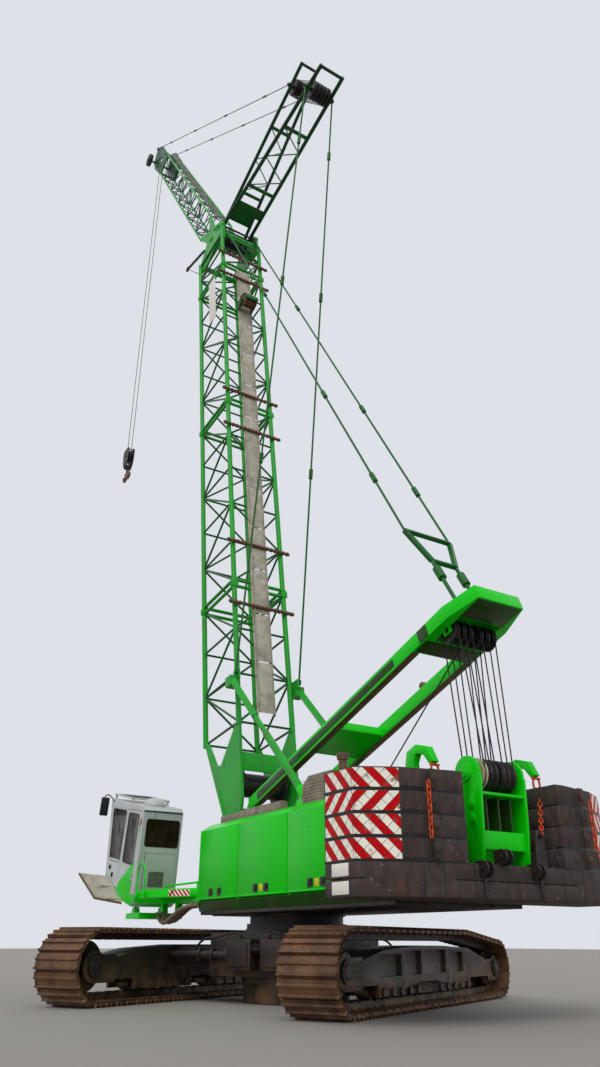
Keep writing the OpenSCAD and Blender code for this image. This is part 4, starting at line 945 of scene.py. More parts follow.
class Finish(Enum):
    """Every finish on the machine, each with the record's slot that it belongs to."""

    BRIGHT_GREEN = (Enamel("bright_green_enamel", tone(4, 216, 4), tone(14, 204, 12), dirt_from=0.66),
                    "bright_green_paint")
    CHORD_GREEN = (Enamel("chord_green_enamel", tone(26, 170, 36), tone(44, 152, 50), dirt_from=0.5),
                   "chord_green_paint")
    # The chords' green paint, darkened as painted shade for the lacing, ties, pendants and reel stand.
    LACING_GREEN = (Enamel("lacing_green_enamel", tone(16, 104, 34), tone(30, 92, 40), dirt_from=0.46),
                    "chord_green_paint")
    JIB_GREEN = Enamel("jib_green_enamel", tone(14, 88, 42), tone(28, 76, 42), dirt_from=0.46), "dark_green_paint"
    STRUT_GREEN = (Enamel("strut_green_enamel", tone(18, 76, 42), tone(34, 66, 42), dirt_from=0.46),
                   "dark_green_paint")
    # Green darkened to painted shade, for sheets laid on recesses, undersides and channels.
    PAINTED_SHADE_GREEN = (Enamel("painted_shade_green_enamel", tone(26, 84, 14), tone(48, 62, 30), dirt_from=0.42),
                   "dark_green_paint")
    CAB_GREY = Enamel("cab_grey_enamel", tone(200, 204, 202), tone(184, 188, 186)), "cab_grey_paint"
    PLATE_WHITE = Enamel("blank_plate_white", tone(244, 240, 228), tone(224, 218, 204)), "cab_grey_paint"
    # Black paint, also used for the sheets of painted shadow in the ballast's gaps.
    BLACK_PAINT_AND_SHADE = Enamel("black_enamel_and_painted_shade", tone(26, 26, 27), tone(44, 42, 41), dirt_from=0.5), "dark_steel"
    YELLOW = Enamel("yellow_tag", tone(240, 208, 24), tone(220, 190, 40), dirt_from=0.6), "bright_green_paint"
    ORANGE = (Enamel("orange_chain_paint", tone(226, 84, 34), tone(196, 70, 36), dirt_from=0.5, chips_from=0.64),
              "track_steel")
    BEIGE = Enamel("sheave_beige", tone(206, 190, 158), tone(186, 170, 140), dirt_from=0.5), "dark_steel"
    UNDERCARRIAGE = (Iron("undercarriage_iron", tone(50, 42, 40), tone(74, 54, 42), mud_high=0.75),
                     "undercarriage_paint")
    SHOES = (Iron("shoe_steel", tone(96, 66, 46), tone(142, 96, 60), rust_share=0.8, mud_high=1.1, grain=0.006),
             "track_steel")
    CHAIN_STEEL = Iron("link_steel", tone(58, 46, 40), tone(92, 62, 44), mud_high=0.6), "track_steel"
    DARK_STEEL = (Iron("dark_machined_steel", tone(48, 44, 44), tone(66, 52, 44), rust_share=0.2, mud_high=0.01),
                  "dark_steel")
    BROWN_STEEL = (Iron("brown_roller_steel", tone(112, 84, 62), tone(134, 92, 60), rust_share=0.7, mud_high=0.01),
                   "dark_steel")
    BALLAST = CastBlock("cast_ballast", tone(62, 52, 49), tone(80, 70, 66)), "ballast_paint"
    WALKWAY = Grating("walkway_galvanised", tone(190, 182, 164), tone(160, 152, 136)), "walkway_steel"
    JIB_WALKWAY = Grating("jib_walkway_steel", tone(98, 98, 74), tone(52, 80, 50)), "walkway_steel"
    ROOF_BOX = Grating("roof_box_enamel", tone(150, 132, 116), tone(128, 112, 98)), "roof_box_paint"
    ROOF_MESH = Grating("roof_box_mesh", tone(168, 150, 134), tone(140, 124, 110), holes=34), "roof_box_paint"
    GRILLE = Grating("grille_paint", tone(116, 112, 106), tone(92, 88, 84)), "roof_box_paint"
    ROPE = WireRope("greased_wire_rope", tone(44, 40, 40), tone(84, 78, 74)), "rope_steel"
    GLASS = Pane("tinted_cab_glass"), "tinted_glass"
    RUBBER = Moulded("black_rubber", tone(28, 27, 27), 0.75), "seat_plastic"
    SEAT = Moulded("seat_moulding", tone(40, 40, 42), 0.65), "seat_plastic"
    HOSE = Moulded("brown_hose", tone(134, 114, 94), 0.7), "seat_plastic"
    BOARD_FALLING = WarningBoard("warning_board_falling", Slant.FALLING), "ballast_paint"
    BOARD_RISING = WarningBoard("warning_board_rising", Slant.RISING), "ballast_paint"
    BOARD_FINE = WarningBoard("fine_striped_strip", Slant.FALLING, 0.1, 0.5), "cab_grey_paint"

    def __init__(self, look: Look, slot: str) -> None:
        """Keep the look and the slot.

        Args:
            look: The finish's settings, which build its material.
            slot: The record's material slot.
        """
        self.look = look
        self.slot = slot

    def material(self) -> bpy.types.Material:
        """The finish's material, built the first time it is asked for."""
        return bpy.data.materials.get(self.look.name) or self.look.material()


@dataclass(frozen=True)
class Bend:
    """Two bodies that rigging runs between, and the points where it leaves each."""

    first: str
    second: str
    start: Vector
    end: Vector


@dataclass
class Assembly:
    """A sub-assembly whose pieces ride on one body."""

    body: str
    frame: dict = field(repr=False)

    def fit(self, pieces: Sequence[Piece], name: str, finish: Finish, where: Matrix = WORLD,
            replaces: Sequence[str] = (), body: str | None = None, angle: float = 35,
            bend: Bend | None = None, slot: str | None = None) -> None:
        """Join pieces, name and dress the whole, and hand it to the frame.

        Args:
            pieces: The modelled pieces.
            name: Name of the whole.
            finish: Its finish.
            where: Working frame that the pieces were modelled in.
            replaces: CAD nodes that it stands for.
            body: Another body than the sub-assembly's own.
            angle: Sharpest edge in degrees that is still shaded smooth.
            bend: If given, the piece stays on no body, where it was modelled; the bodies and points in it are not
                used.
            slot: Not used.
        """
        piece = Bench.smooth(Bench.join([Bench.place(each, where) for each in pieces]), angle)
        piece.name = name
        piece.data.name = name
        piece.data.materials.clear()
        piece.data.materials.append(finish.material())
        if bend:
            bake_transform(piece)
        else:
            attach(piece, body or self.body)
        if replaces:
            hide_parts(*replaces)
        log.info("%s: %d faces on %s", name, len(piece.data.polygons), body or self.body)

    def soften(self, node: str, width: float, finish: Finish, angle: float = 40, body: str | None = None) -> None:
        """Replace a CAD node by a merged copy of it with its sharp edges broken.

        Args:
            node: The node's name.
            width: Width of the broken edges.
            finish: The copy's finish.
            angle: Sharpest edge in degrees that is still shaded smooth.
            body: Another body than the sub-assembly's own.
        """
        source = self.frame["nodes"][node]
        piece = source.copy()
        piece.data = source.data.copy()
        piece.parent = None
        for key in list(piece.keys()):
            del piece[key]
        bpy.context.collection.objects.link(piece)
        Bench.edit(piece, Element.VERT, everything=True)
        bpy.ops.mesh.remove_doubles(threshold=2e-4)
        bpy.ops.mesh.select_all(action="SELECT")
        bpy.ops.mesh.dissolve_limited(angle_limit=math.radians(0.6))
        Bench.leave()
        bevel = piece.modifiers.new("broken edges", "BEVEL")
        bevel.width = width
        bevel.segments = 2
        bevel.limit_method = "ANGLE"
        bevel.angle_limit = math.radians(40)
        bpy.ops.object.modifier_apply(modifier=bevel.name)
        self.fit([piece], f"{node}_dressed", finish, replaces=(node,), angle=angle, body=body)


# Lattice work


@dataclass(frozen=True)
class Station:
    """One cross-section of a lattice: its place along the part, half width, rear and front."""

    along: float
    half: float
    rear: float
    front: float

    def corner(self, k: int) -> Vector:
        """Corner k, counted round the section."""
        return Vector((self.rear if k % 4 in (0, 3) else self.front,
                       self.half if k % 4 < 2 else -self.half, self.along))

    def towards(self, other: Station, share: float) -> Station:
        """The section a share of the way to another.

        Args:
            other: The other section.
            share: Share of the way, 0 to 1.

        Returns:
            The section.
        """
        def blend(a: float, b: float) -> float:
            """A value a share of the way from a to b."""
            return a + (b - a) * share
        return Station(blend(self.along, other.along), blend(self.half, other.half),
                       blend(self.rear, other.rear), blend(self.front, other.front))


@dataclass
class TubeStock:
    """Tubes of one size, one model cut for each length and copied to its places."""

    radius: float
    sides: int = 12
    bead: float = 0.0
    seat: float = 0.05
    places: dict[float, list[Matrix]] = field(default_factory=dict)

    def lay(self, a: Vector, b: Vector) -> None:
        """Note a tube from a to b."""
        self.places.setdefault(round((b - a).length, 3), []).append(along(a, b))

    def cut(self) -> list[Piece]:
        """Model and copy every tube that was noted."""
        made = []
        for length, places in self.places.items():
            made += Bench.copies(Bench.round_bar(self.radius, length, self.sides, self.bead, self.seat), places)
        return made


@dataclass(frozen=True)
class LatticeSize:
    """Tube sizes of a lattice and the unlaced tail at each end of its chords."""

    chord: float
    lacing: float
    tail: float = 0.07

    def tubes(self, a: Station, b: Station, bays: int) -> tuple[list[Piece], list[Piece]]:
        """Model a four-chord lattice between two sections.

        Args:
            a: First section.
            b: Last section.
            bays: Number of bays.

        Returns:
            The chords, and the lacing.
        """
        chords = TubeStock(self.chord / 2, 20)
        lacing = TubeStock(self.lacing / 2, 10, self.lacing * 0.1, self.chord * 0.62)
        for k in range(4):
            chords.lay(a.corner(k), b.corner(k))
        margin = self.tail / (b.along - a.along)
        stations = [a.towards(b, margin + (1 - 2 * margin) * i / bays) for i in range(bays + 1)]
        for i, here in enumerate(stations):
            for k in range(4):
                lacing.lay(here.corner(k), here.corner(k + 1))
                if i < bays:
                    near, far = (k, k + 1) if (i + k) % 2 == 0 else (k + 1, k)
                    lacing.lay(here.corner(near), stations[i + 1].corner(far))
        return chords.cut(), lacing.cut()


def both_sides(piece: Piece) -> list[Piece]:
    """A piece and its mirror image across the machine's middle."""
    return Bench.copies(piece, (WORLD, MIRROR))


@dataclass(frozen=True)
class Sheave:
    """A rope sheave: hub, dished web and grooved rim."""

    radius: float
    width: float

    def model(self) -> Piece:
        """Turn the sheave about +Z, centred on the origin."""
        r, w = self.radius, self.width / 2
        return Bench.lathe(both_ends([
            (0.05, -w), (0.09, -w), (0.1, -w * 0.5), (r * 0.78, -w * 0.5), (r * 0.82, -w), (r, -w), (r, -w * 0.7),
            (r * 0.92, -w * 0.3)]), 32, hollow=True)

    def row(self, places: Iterable[Point]) -> list[Piece]:
        """Sheaves across the machine at their places."""
        return Bench.copies(self.model(), [across(*place) for place in places])


@dataclass
class Boom(Assembly):
    """Main boom: four lattice sections, foot plates and a plated head with its sheaves."""

    half: float = 0.69
    rear: float = -0.35
    front: float = 1.262
    foot_end: float = 2.5
    base_end: float = 6.1
    section: float = 5.95
    head_reach: float = 0.64
    frame_inset: float = 0.09
    joint_gap: float = 0.0003
    size: LatticeSize = LatticeSize(0.128, 0.054)

    def box(self, at: float) -> Station:
        """The boom's cross-section at a place along it."""
        return Station(at, self.half, self.rear, self.front)

    def joint_lugs(self, at: float) -> list[Piece]:
        """Pin lugs and pins where two sections meet."""
        ring = [(0.085 * math.cos(a), 0.085 * math.sin(a)) for a in (math.pi * k / 8 for k in range(-4, 5))]
        corners = [self.box(at).corner(k) for k in range(4)]
        lugs = Bench.copies(Bench.plate([*ring, (-0.13, 0.085), (-0.13, -0.085)], 0.03, 0.004),
                            [Matrix.Translation(corner) @ shift(side, 0, 0) @ turned("Y", -90)
                             for corner in corners for side in (-0.045, 0.045)])
        pin = Bench.lathe(both_ends([(0, -0.085), (0.03, -0.085), (0.034, -0.078)]), 14)
        spots = [Matrix.Translation(corner + Vector((0.015, 0, 0))) @ turned("Y") for corner in corners]
        return lugs + Bench.copies(pin, spots)

    def end_frame(self, at: float) -> list[Piece]:
        """Heavier tubes round a section's end."""
        stock = TubeStock(0.042, 14)
        for k in range(4):
            stock.lay(self.box(at).corner(k), self.box(at).corner(k + 1))
        return stock.cut()

    def foot(self) -> list[Piece]:
        """Foot plates with their stiffeners and eyes, cross tube and cross plate."""
        outline = [(-0.15, -0.06), (0.06, -0.15), (0.19, 0.06), (0.52, 0.9), (1.272, 2.6), (1.142, 2.62),
                   (0.7, 1.9), (0.48, 1.85), (-0.29, 2.6), (-0.41, 2.6), (-0.41, 0.9)]
        made = both_sides(Bench.wall(outline, self.half, 0.07, 0.008))
        rim = [(0.19, 0.3), (0.46, 0.95), (0.62, 1.32), (0.58, 1.34), (0.42, 0.97), (0.15, 0.31)]
        made += both_sides(Bench.wall(rim, self.half + 0.045, 0.03, 0.006))
        eye = Bench.lathe(both_ends([(0.075, -0.05), (0.15, -0.05), (0.165, -0.03)]), 28, hollow=True)
        made += Bench.copies(eye, [across(0, s * (self.half + 0.01), 0) for s in (-1, 1)])
        made += [Bench.pin(0.12, self.half - 0.01, 0.06, 0.7, 28)]
        return [*made, Bench.bar((self.rear - 0.02, -self.half, 1.5), (self.rear + 0.02, self.half, 1.9), 0.006)]

    def head(self) -> list[Piece]:
        """Head plates with their rims, cross plates and bosses."""
        top, rear, front, y = BOOM_LENGTH, self.rear, self.front, self.half - 0.06
        outline = [(rear - 0.06, top - 1.0), (front + 0.06, top - 1.0), (front + 0.06, top - 0.5),
                   (0.7, top + 0.24), (0.34, top + 0.24), (rear + 0.1, top + 0.06), (rear - 0.06, top - 0.4)]
        made = both_sides(Bench.wall(outline, y, 0.06, 0.008))
        rim = [(rear - 0.02, top - 0.95), (rear + 0.06, top - 0.95), (rear + 0.06, top - 0.42), (rear + 0.2, top),
               (0.28, top + 0.16), (0.28, top + 0.22), (rear + 0.11, top + 0.04), (rear - 0.02, top - 0.4)]
        made += both_sides(Bench.wall(rim, y + 0.044, 0.03, 0.005))
        made += [Bench.bar((x - 0.02, -y, top - 0.82), (x + 0.02, y, top - 0.56), 0.006)
                 for x in (rear + 0.01, front - 0.01)]
        boss = Bench.lathe(both_ends([(0.062, -0.05), (0.1, -0.05), (0.12, -0.03)]), 24, hollow=True)
        spots = [(0.52, top), (0.0, top), (rear + 0.06, top - 0.23)]
        return made + Bench.copies(boss, [across(x, s * (y + 0.012), z) for x, z in spots for s in (-1, 1)])

    def head_sheaves(self) -> list[Piece]:
        """Grooved sheaves and their shaft between the head plates, and the two pins above."""
        top, half = BOOM_LENGTH, self.half
        return [*Sheave(0.3, 0.06).row((0.1, y, top - 0.5) for y in (-0.33, -0.11, 0.11, 0.33)),
                Bench.pin(0.05, half - 0.05, 0.1, top - 0.5), Bench.pin(0.05, half - 0.03, 0, top),
                Bench.pin(0.035, half - 0.06, self.rear + 0.06, top - 0.23, 16)]

    def build(self) -> None:
        """Model and dress the whole boom."""
        joints = [self.base_end + i * self.section for i in range(3)]
        ends = [self.foot_end, *joints, BOOM_LENGTH - self.head_reach]
        plan = [("boom_base", 3, self.foot()), ("boom_middle", 5, []), ("boom_upper", 5, []),
                ("boom_head", 2, self.head())]
        for (name, bays, plates), low, high in zip(plan, ends, ends[1:]):
            chords, lacing = self.size.tubes(self.box(low), self.box(high - self.joint_gap), bays)
            if low in joints:
                chords += self.end_frame(low + self.frame_inset)
            if high in joints:
                chords += self.end_frame(high - self.frame_inset)
            if low in joints:
                chords += self.joint_lugs(low)
            self.fit(chords + plates, f"{name}_chords", Finish.CHORD_GREEN, BOOM.matrix, (name,))
            # The lacing's darker green is painted shade.
            self.fit(lacing, f"{name}_lacing", Finish.LACING_GREEN, BOOM.matrix)
        self.fit(self.head_sheaves(), "boom_head_sheaves", Finish.DARK_STEEL, BOOM.matrix)


@dataclass
class Jib(Assembly):
    """Luffing jib: laced body and foot plates."""

    half: float = 0.4
    rear: float = -0.37
    front: float = 0.56
    foot_end: float = 1.9
    head_length: float = 2.3
    size: LatticeSize = LatticeSize(0.076, 0.038)

    def build(self) -> None:
        """Model and dress the jib's body."""
        top = JIB_LENGTH - self.head_length
        chords, lacing = self.size.tubes(
            Station(self.foot_end, self.half, self.rear, self.front),
            Station(top, self.half - 0.06, self.rear + 0.02, self.front - 0.02), 10)
        outline = [(-0.09, -0.1), (0.09, -0.1), (0.14, 0.06), (self.front + 0.045, self.foot_end + 0.06),
                   (self.front - 0.15, self.foot_end + 0.08), (0, 1.3), (self.rear + 0.13, self.foot_end + 0.06),
                   (self.rear - 0.04, self.foot_end + 0.06), (-0.14, 0.06)]
        foot = [*both_sides(Bench.wall(outline, self.half, 0.045, 0.006)), Bench.pin(0.11, self.half, 0, 0, 24),
                Bench.pin(0.06, 0.69, 0, 0, 24)]
        self.fit(chords + foot, "jib_frame_chords", Finish.CHORD_GREEN, JIB.matrix, ("jib_frame",),
                 slot="dark_green_paint")
        self.fit(lacing, "jib_frame_lacing", Finish.JIB_GREEN, JIB.matrix)


@dataclass(frozen=True)
class Belt:
    """The line that a crawler's shoes follow: a belt round four circles."""

    length: float = 7.54
    height: float = 1.19
    low_end: float = 0.5
    fall_start: float = 1.45
    plate: float = 0.045
    grouser: float = 0.032
    pitch: float = 0.25

    @property
    def circles(self) -> list[tuple[float, float, float]]:
        """Centre and radius of each circle."""
        line = self.plate + self.grouser
        end = self.height / 2 - line
        low = self.low_end - line
        end_x = self.length / 2 - self.height / 2
        low_x = self.length / 2 - self.low_end
        return [(-end_x, self.height / 2, end), (self.fall_start, self.height / 2, end),
                (low_x, self.low_end + 0.025, low), (low_x - 0.65, self.height / 2, end)]

    def out_angle(self, i: int) -> float:
        """Direction of the outward normal on the run after circle i."""
        a, b = self.circles[i % 4], self.circles[(i + 1) % 4]
        gap = Vector((b[0] - a[0], b[1] - a[1]))
        return math.atan2(gap.y, gap.x) + math.pi / 2 - math.asin((a[2] - b[2]) / gap.length)

    def run(self, i: int) -> float:
        """Length of the straight run after circle i."""
        a, b = self.circles[i % 4], self.circles[(i + 1) % 4]
        return math.sqrt((b[0] - a[0]) ** 2 + (b[1] - a[1]) ** 2 - (a[2] - b[2]) ** 2)

    def turned(self, i: int) -> float:
        """Angle through which circle i turns the belt."""
        return (self.out_angle((i + 3) % 4) - self.out_angle(i) + 2 * math.tau) % math.tau

    @property
    def total(self) -> float:
        """Length of the whole belt."""
        return sum(self.turned(i) * self.circles[i][2] + self.run(i) for i in range(4))

    def at(self, s: float) -> tuple[float, float, float]:
        """Point at a distance along the belt: x, z and the outward direction.

        Args:
            s: Distance along the belt.

        Returns:
            X, Z and the angle of the outward direction.
        """
        for i, (x, z, r) in enumerate(self.circles):
            arc, run, out = self.turned(i) * r, self.run(i), self.out_angle(i)
            if s < arc:
                angle = out + self.turned(i) * (1 - s / arc)
                return x + r * math.cos(angle), z + r * math.sin(angle), angle
            s -= arc
            if s < run or i == 3:
                break
            s -= run
        return x + r * math.cos(out) + s * math.sin(out), z + r * math.sin(out) - s * math.cos(out), out


@dataclass
class Crawlers(Assembly):
    """Both crawlers: shoes, chain links and side frames, and the carbody between them."""

    belt: Belt = Belt()
    shoe_width: float = 0.955
    chain_half: float = 0.12
    link_height: float = 0.11

    def steps(self) -> tuple[float, list[Matrix]]:
        """Pitch of the shoes, and the place of each.

        Returns:
            The pitch, and the places on a crawler's own middle line.
        """
        count = round(self.belt.total / self.belt.pitch)
        step = self.belt.total / count
        places = []
        for i in range(count):
            x, z, out = self.belt.at((i + 0.5) * step)
            places.append(shift(x, 0, z) @ Matrix.Rotation(math.pi / 2 - out, 4, "Y"))
        return step, places

    def shoe(self, step: float) -> Piece:
        """One shoe with its grousers and a lip under the next, its ends set in and thinned."""
        plate, bar, width = self.belt.plate, self.belt.grouser, self.shoe_width
        shares = [(-0.47, 0.2, 0), (-0.45, 1, 0.9), (-0.37, 1, 1), (-0.31, 1, 0), (0.07, 1, 0), (0.12, 1, 1),
                  (0.2, 1, 1), (0.25, 1, 0), (0.47, 0.9, 0), (0.47, 0.1, 0), (0.6, 0.05, 0), (0.6, -0.2, 0),
                  (0.47, -0.25, 0), (-0.4, -0.25, 0)]
        shoe = Bench.wall([(u * step, v * plate + w * bar) for u, v, w in shares], 0, width)
        Bench.edit(shoe)
        for hand in (-1, 1):
            Bench.pick(shoe, Element.FACE, lambda mid, normal: normal.y * hand > 0.9)
            bpy.ops.mesh.inset(thickness=0.004)
            bpy.ops.transform.translate(value=(0, -hand * 0.02, 0))
            bpy.ops.transform.resize(value=(0.84, 1, 0.9), center_override=(0, hand * width / 2, 0.02))
        Bench.leave()
        return shoe

    def chain_link(self, step: float) -> Piece:
        """One side plate of the chain, waisted between its two bosses."""
        top, low = -0.008, -0.008 - self.link_height
        middle = (top + low) / 2
        shares = [(-0.52, middle + 0.03), (-0.3, top), (0.3, top), (0.52, middle + 0.03), (0.52, middle - 0.035),
                  (0.3, low), (-0.3, low), (-0.52, middle - 0.035)]
        return Bench.wall([(u * step, z) for u, z in shares], 0, 0.05, 0.005)

    def build(self) -> None:
        """Model and dress both crawlers and the carbody."""
        step, places = self.steps()
        rows = [shift(0, y, 0) for y in (-self.chain_half, self.chain_half)]
        for hand, name in ((1, "track_left"), (-1, "track_right")):
            side = crawler(hand)
            shoes = Bench.copies(self.shoe(step), [side @ p for p in places])
            self.fit(shoes, f"{name}_shoes", Finish.SHOES, replaces=(name,), angle=20)
            links = Bench.copies(self.chain_link(step), [side @ p @ row for p in places for row in rows])
            self.fit(links, f"{name}_links", Finish.CHAIN_STEEL, angle=20)
        for node, width in (("crawler_frame_left", 0.012), ("crawler_frame_right", 0.012), ("carbody", 0.015)):
            self.soften(node, width, Finish.UNDERCARRIAGE, 30)


@dataclass
class WheelDressing(Assembly):
    """Hubs of the crawlers' end wheels, and the carbody's boxes and hoses."""

    def carbody(self) -> None:
        """Winch boxes on the carbody's faces, flanges on the rods beside them, and hoses above."""
        made, hoses = [], []
        for place in (Matrix.Diagonal((s, k, 1, 1)) for s in (-1, 1) for k in (-1, 1)):
            flange = Bench.lathe([(0, 0), (0.1, 0), (0.105, 0.01), (0.105, 0.05), (0.1, 0.06), (0, 0.06)], 20)
            box = [Bench.bar((1.13, 0.1, 0.52), (1.42, 0.62, 1.02), 0.03),
                   Bench.bar((1.4, 0.16, 0.58), (1.45, 0.56, 0.96), 0.015),
                   Bench.place(Bench.round_bar(0.1, 0.34, 20), across(1.3, -0.22, 0.86)),
                   *Bench.copies(flange, [across(1.2, y, 0.76) for y in (0.7, 1.02, 1.3)])]
            made += [Bench.place(each, place) for each in box]
            hose = [(1.36, 0.3, 1.0), (1.42, 0.3, 1.07), (1.34, 0.9, 1.04), (1.22, 1.3, 0.98), (1.2, 1.45, 0.84)]
            hoses.append(Bench.place(Bench.pipe(hose, 0.02), place))
        self.fit(made, "carbody_boxes", Finish.UNDERCARRIAGE, turned("Z", CRAWLER_TURN))
        self.fit(hoses, "carbody_hoses", Finish.RUBBER, turned("Z", CRAWLER_TURN))

    def build(self) -> None:
        """Model and dress the wheels of both crawlers."""
        self.carbody()
        for hand, name in ((1, "left"), (-1, "right")):
            hub = Bench.lathe([(0, 0), (0.09, 0), (0.1, -0.012), (0.13, -0.02), (0.156, -0.03), (0.156, -0.12),
                               (0, -0.12)], 28)
            bolt = Bench.lathe([(0, 0), (0.013, 0), (0.013, 0.012), (0, 0.012)], 6)
            bolts = Bench.copies(bolt, [turned("Z", 45 * i) @ shift(0.115, 0, -0.016) for i in range(8)])
            places = [shift(x, out * reach, z) @ turned("X", -90 * out)
                      for x, z, reach in ((-3.175, 0.595, 0.37), (3.27, 0.525, 0.38)) for out in (-1, 1)]
            made = Bench.copies(Bench.join([hub, *bolts]), places)
            self.fit(made, f"crawler_hubs_{name}", Finish.DARK_STEEL, crawler(hand))


@dataclass
class Counterweight(Assembly):
    """Stacked slabs on a two-layer base, with warning boards, painted shadow in the gaps and painted shade on the
    lower block's recess.
    """

    front: float = -4.65
    half: float = 2.46
    corner_x: float = -5.34
    rear_corner: Flat = (-5.64, 1.91)
    back: Flat = (-5.83, 1.1)
    base_low: float = 1.5
    stack_low: float = 1.9243
    slab: float = 0.288
    pitch: float = 0.3

    def boards(self, side: str, hand: int) -> None:
        """Dress one stack with its warning boards, of which the third row rises.

        Args:
            side: Left or right, for the names.
            hand: +1 left, -1 right.
        """
        out = 0.004
        x, y = self.rear_corner
        path = [(self.front - 0.03, self.half + out), (self.corner_x, self.half + out),
                (self.corner_x - out * 0.7, self.half + out * 0.7), (x - out, y + out)]
        for finish, rows in ((Finish.BOARD_FALLING, (0, 1, 3)), (Finish.BOARD_RISING, (2,))):
            made = []
            for row in rows:
                foot = self.stack_low + row * self.pitch + 0.018
                board = Bench.sheet(path, foot, foot + self.slab - 0.036)
                made.append(board if hand > 0 else Bench.place(board, MIRROR))
            self.fit(made, f"{finish.name.lower()}_{side}", finish, angle=20)

    def shadows(self) -> list[Piece]:
        """Black strips of painted shadow: in the gaps between slabs, slots in their rear faces, seams of the
        boards and of the base.
        """
        out = 0.003
        (x, y), (back_x, back_y) = self.rear_corner, self.back
        made = []
        for row in range(4):
            low = self.stack_low + row * self.pitch
            around = [(self.front, self.half + out), (self.corner_x, self.half + out), (x - out, y + out),
                      (back_x - out, back_y), (back_x - out, 0.95)]
            slot = [(x - 0.009, y - 0.02), (x - 0.09, y - 0.36)]
            seam = [(self.corner_x + 0.02, self.half + 0.0065), (self.corner_x - 0.012, self.half - 0.01)]
            made += [Bench.sheet(around, low - 0.014, low + 0.01), Bench.sheet(slot, low - 0.008, low + 0.042),
                     Bench.sheet(seam, low + 0.015, low + self.slab - 0.015)]
        base = []
        for seam_y in (1.62, 1.33, 0.85, 0.28, -0.3, -0.85, -1.33, -1.62):
            seam_x = back_x + max(0, abs(seam_y) - back_y) * (x - back_x) / (y - back_y) - out
            base.append(Bench.sheet([(seam_x, seam_y + 0.006), (seam_x, seam_y - 0.006)], self.base_low, 1.915))
        return both_sides(Bench.join(made)) + base

    def build(self) -> None:
        """Model and dress the counterweight."""
        # Black sheets of painted shadow in the gaps, slots and seams.
        self.fit(self.shadows(), "ballast_gap_painted_shadows", Finish.BLACK_PAINT_AND_SHADE, angle=20)
        # Dark green sheets of painted shade on the lower block's recess and its ribs.
        recess = [Bench.bar((-5.304, y, 2.42), (-5.298, y + 0.18, 2.87), 0.002)
                  for y in (-0.42, -0.21, 0.03, 0.24)]
        recess += [Bench.bar((-5.544, y - 0.017, 2.405), (-5.29, y + 0.017, 2.876), 0.002)
                   for y in (-0.24, 0, 0.24)]
        self.fit(recess, "block_recess_painted_shade", Finish.PAINTED_SHADE_GREEN, angle=20)
        for node in ("counterweight_left", "counterweight_right", "counterweight_base"):
            self.soften(node, 0.018, Finish.BALLAST)
        self.boards("left", 1)
        self.boards("right", -1)


@dataclass
class Bodywork(Assembly):
    """Housings, their doors, the revolving frame, the lower block and the ballast's hooks."""

    def build(self) -> None:
        """Dress the bodywork."""
        for node, width in (("housing_left", 0.01), ("housing_right", 0.01), ("revolving_frame", 0.008),
                            ("lower_sheave_block", 0.008), ("ballast_arms", 0.01)):
            self.soften(node, width, Finish.UNDERCARRIAGE if node == "revolving_frame" else Finish.BRIGHT_GREEN)
        for node in (f"door_{side}_{i}" for side in ("left", "right") for i in (1, 2, 3)):
            self.soften(node, 0.008, Finish.BRIGHT_GREEN, body=node)


@dataclass
class CadFinishes:
    """Finishes of the CAD nodes that show as they are."""

    frame: dict = field(repr=False)

    def build(self) -> None:
        """Give each node its material."""
        plan = {
            Finish.CHAIN_STEEL: ("track_wheels_left", "track_wheels_right"),
            Finish.DARK_STEEL: ("slewing_ring", "engine_block", "deck_winches", "boom_winch"),
            Finish.BROWN_STEEL: ("exhaust_stack", "boom_rollers"),
            # The pendants take the lacing's green with its painted shade.
            Finish.LACING_GREEN: ("boom_pendants", "strut_pendants", "jib_pendants"),
            Finish.ROOF_BOX: ("roof_boxes",), Finish.BRIGHT_GREEN: ("cab_platform",), Finish.GLASS: ("cab_glass",),
            Finish.SEAT: ("cab_seat",), Finish.CAB_GREY: ("cab_door",), Finish.CHORD_GREEN: ("backstops",),
            Finish.WALKWAY: ("boom_walkway",), Finish.JIB_WALKWAY: ("jib_walkway",),
        }
        for finish, names in plan.items():
            for name in names:
                node = self.frame["nodes"][name]
                node.data.materials.clear()
                node.data.materials.append(finish.material())


@dataclass
class JibDressing(Assembly):
    """Jib head, its wheels and hoist sheave, and the walkway's planks."""

    hoist_at: Flat = (0.48, 14.75)
    wheel_y: float = 0.62

    def build(self) -> None:
        """Model and dress the jib's head and walkway."""
        self.soften("jib_head", 0.006, Finish.JIB_GREEN)
        x, s = self.hoist_at
        rows = [across(x, y, s) for y in (-self.wheel_y, self.wheel_y)]
        r, w = 0.3, 0.085
        tyre = Bench.lathe(both_ends([
            (0.1, -w), (0.2, -w), (0.215, -w * 0.8), (r - 0.03, -w * 0.95), (r - 0.008, -w * 0.75), (r, -w * 0.5),
            (r, -w * 0.25), (r - 0.012, -w * 0.2)]), 36, hollow=True)
        self.fit(Bench.copies(tyre, rows), "jib_ground_wheels", Finish.RUBBER, JIB.matrix)
        hubs = Bench.copies(Bench.lathe(both_ends([(0, -0.11), (0.06, -0.11), (0.1, -0.09)]), 20), rows)
        rollers = Sheave(0.194, 0.076).row((0, y, JIB_LENGTH) for y in (-0.12, 0.12))
        self.fit(hubs + rollers, "jib_head_rollers", Finish.DARK_STEEL, JIB.matrix)
        self.fit(Sheave(0.25, 0.11).row([(x, 0, s)]), "hoist_sheave_grooved", Finish.DARK_STEEL, JIB.matrix,
                 ("hoist_sheave",), "hoist_sheave")
        plank = Bench.bar((-0.4375, -0.17, 0.02), (-0.4285, 0.17, 1.02), 0.003)
        planks = Bench.copies(plank, [shift(0, 0, 1.9 + 1.06 * i) for i in range(10)])
        self.fit(planks, "jib_walkway_planks", Finish.JIB_WALKWAY, JIB.matrix)


